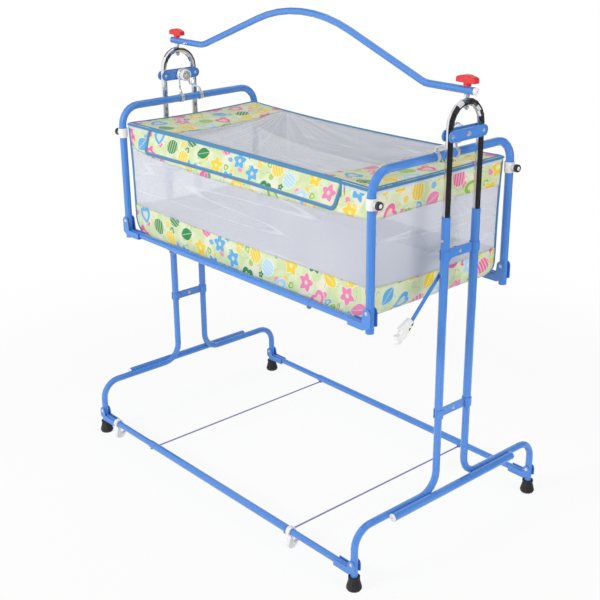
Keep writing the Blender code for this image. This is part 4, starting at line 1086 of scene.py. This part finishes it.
def swell(piece, sizes):
    rest = [v.co.copy() for v in piece.data.vertices]
    cloth = piece.modifiers.new("swell", "CLOTH")
    cloth.settings.quality = sizes["quality"]
    cloth.settings.mass = sizes["mass"]
    cloth.settings.use_pressure = True
    cloth.settings.uniform_pressure_force = sizes["pressure"]
    cloth.settings.effector_weights.gravity = 0
    for number in range(1, sizes["frames"] + 1):
        scene.frame_set(number)
    grown = evaluatedMesh(piece)
    piece.modifiers.remove(cloth)
    scene.frame_set(1)
    for v, start, end in zip(piece.data.vertices, rest, grown.vertices):
        step = end.co - start
        v.co = start + step * min(1, sizes["cap"] / max(step.length, 1e-6))
    bpy.data.meshes.remove(grown)


def mattressMesh():
    m = mattress
    middle = (m["low"] + m["high"]) / 2
    build = bmesh.new()
    addBox(build, (2 * (m["halfX"] - m["shy"]), 2 * (m["halfY"] - m["shy"]), m["thick"]), (0, 0, middle),
           m["bevel"], 3)
    maker = addPiece("mattressMaker", meshOf("mattressBlock", build))
    skin = maker.modifiers.new("skin", "REMESH")
    skin.mode, skin.voxel_size = "VOXEL", m["voxel"]
    pad = addPiece("mattressSkin", evaluatedMesh(maker))
    bpy.data.objects.remove(maker)
    swell(pad, m)
    for v in pad.data.vertices:
        u, w = v.co.x / m["halfX"], v.co.y / m["halfY"]
        if v.co.z > middle:
            crown = (1 - abs(u) ** m["crownEdge"][0]) * (1 - abs(w) ** m["crownEdge"][1])
            v.co.z -= m["dip"] * crown * math.cos(math.pi * m["channels"] * u) ** m["channelNarrow"]
        v.co.z = min(max(v.co.z, m["low"]), m["high"])
    finer = pad.modifiers.new("finer", "SUBSURF")
    finer.levels = finer.render_levels = 1
    mesh = evaluatedMesh(pad)
    bpy.data.objects.remove(pad)
    mesh.name = "mattressPad"
    mesh.materials.clear()
    mesh.materials.append(padCloth)
    for face in mesh.polygons:
        face.use_smooth = True
    return mesh


mattressPad = addPiece("mattressPad", mattressMesh(), "crib")
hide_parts("mattress")
print("mattress in the basket:", len(mattressPad.data.polygons), "faces")


# Studio: pale floor, soft lamps, and dark cards that only shiny surfaces mirror
studio = {"ambient": 0.64, "overhead": 0.38, "overheadFrom": (0.15, 0.95), "floorColour": 0.88,
          "floorWhite": 0.88, "floorReach": 30, "fadeOver": (0.8, 1.9)}
lamps = {"aim": (0, 0, 0.7),
         "keyLamp": {"place": (-0.4, -3.6, 2.3), "size": 1.4, "power": 84.0, "mirrored": True},
         "fillLamp": {"place": (3.7, 0.1, 1.8), "size": 2.6, "power": 52.0, "mirrored": False},
         "backLamp": {"place": (-1.8, 2.8, 3.4), "size": 2.4, "power": 22.0, "mirrored": False}}
cards = {"foot": 0.02, "top": 3.6, "steps": 8, "colour": (0.02, 0.02, 0.02), "rough": 0.9,
         "turns": ((62, 96, 1.5), (152, 70, 1.5), (-92, 44, 1.7))}


def shownRays(tree):
    rays = addNode(tree, "ShaderNodeLightPath").outputs
    return largest([Wire(rays[f"Is {kind} Ray"]) for kind in ("Camera", "Glossy", "Transmission")])


def lightWorld():
    world = bpy.data.worlds.new("studio")
    scene.world = world
    world.use_nodes = True
    sky = world.node_tree.nodes["Background"].inputs
    tree = world.node_tree
    upward = partsOf(nodeWire(tree, "ShaderNodeTexCoord", at="Generated"))[2]
    soft = ease(upward, *studio["overheadFrom"], studio["ambient"], studio["overhead"])
    shown = shownRays(tree)
    feed((1, 1, 1), sky["Color"])
    feed(shown + soft * (1.0 - shown), sky["Strength"])


def floorMaterial():
    made = bpy.data.materials.new("studioFloor")
    made.use_nodes = True
    tree = made.node_tree
    tree.nodes.clear()
    matte = nodeWire(tree, "ShaderNodeBsdfDiffuse", {"Color": (studio["floorColour"],) * 3})
    glow = nodeWire(tree, "ShaderNodeEmission", {"Color": (1, 1, 1), "Strength": 1.0})
    away = lengthOf(objectPlace(tree))
    paper = ease(away, *studio["fadeOver"], studio["floorWhite"], 1.0)
    both = nodeWire(tree, "ShaderNodeMixShader", {0: shownRays(tree) * paper, 1: matte, 2: glow})
    addNode(tree, "ShaderNodeOutputMaterial", {0: both})
    return made


def layFloor():
    mesh = bpy.data.meshes.new("floor")
    reach = studio["floorReach"]
    mesh.from_pydata([(-reach, -reach, 0), (reach, -reach, 0), (reach, reach, 0), (-reach, reach, 0)], [],
                     [(0, 1, 2, 3)])
    mesh.materials.append(floorMaterial())
    addPiece("floor", mesh)


def hangLamp(name, place, size, power, mirrored):
    lamp = bpy.data.lights.new(name, "AREA")
    lamp.shape = "DISK"
    lamp.size = size
    lamp.energy = power
    made = addPiece(name, lamp)
    aim = (Vector(lamps["aim"]) - Vector(place)).to_track_quat("-Z", "Y").to_matrix().to_4x4()
    made.matrix_world = Matrix.Translation(place) @ aim
    made.visible_glossy = mirrored


def standCards():
    # each card is an arc round the object: its middle's azimuth, its spread and how far off it stands
    material = newMaterial("darkCard", Base_Color=cards["colour"], Roughness=cards["rough"])[0]
    steps = cards["steps"]
    for number, (azimuth, spread, away) in enumerate(cards["turns"]):
        card = bpy.data.meshes.new(f"darkCard{number}")
        ring = [math.radians(azimuth - spread / 2 + spread * k / steps - 90) for k in range(steps + 1)]
        points = [(away * math.cos(a), away * math.sin(a), z)
                  for z in (cards["foot"], cards["top"]) for a in ring]
        card.from_pydata(points, [], [(k, k + 1, k + steps + 2, k + steps + 1) for k in range(steps)])
        card.materials.append(material)
        made = addPiece(f"darkCard{number}", card)
        made.visible_camera = made.visible_diffuse = made.visible_shadow = made.visible_transmission = False


lightWorld()
layFloor()
for name in ("keyLamp", "fillLamp", "backLamp"):
    hangLamp(name, **lamps[name])
standCards()
print("studio lit")
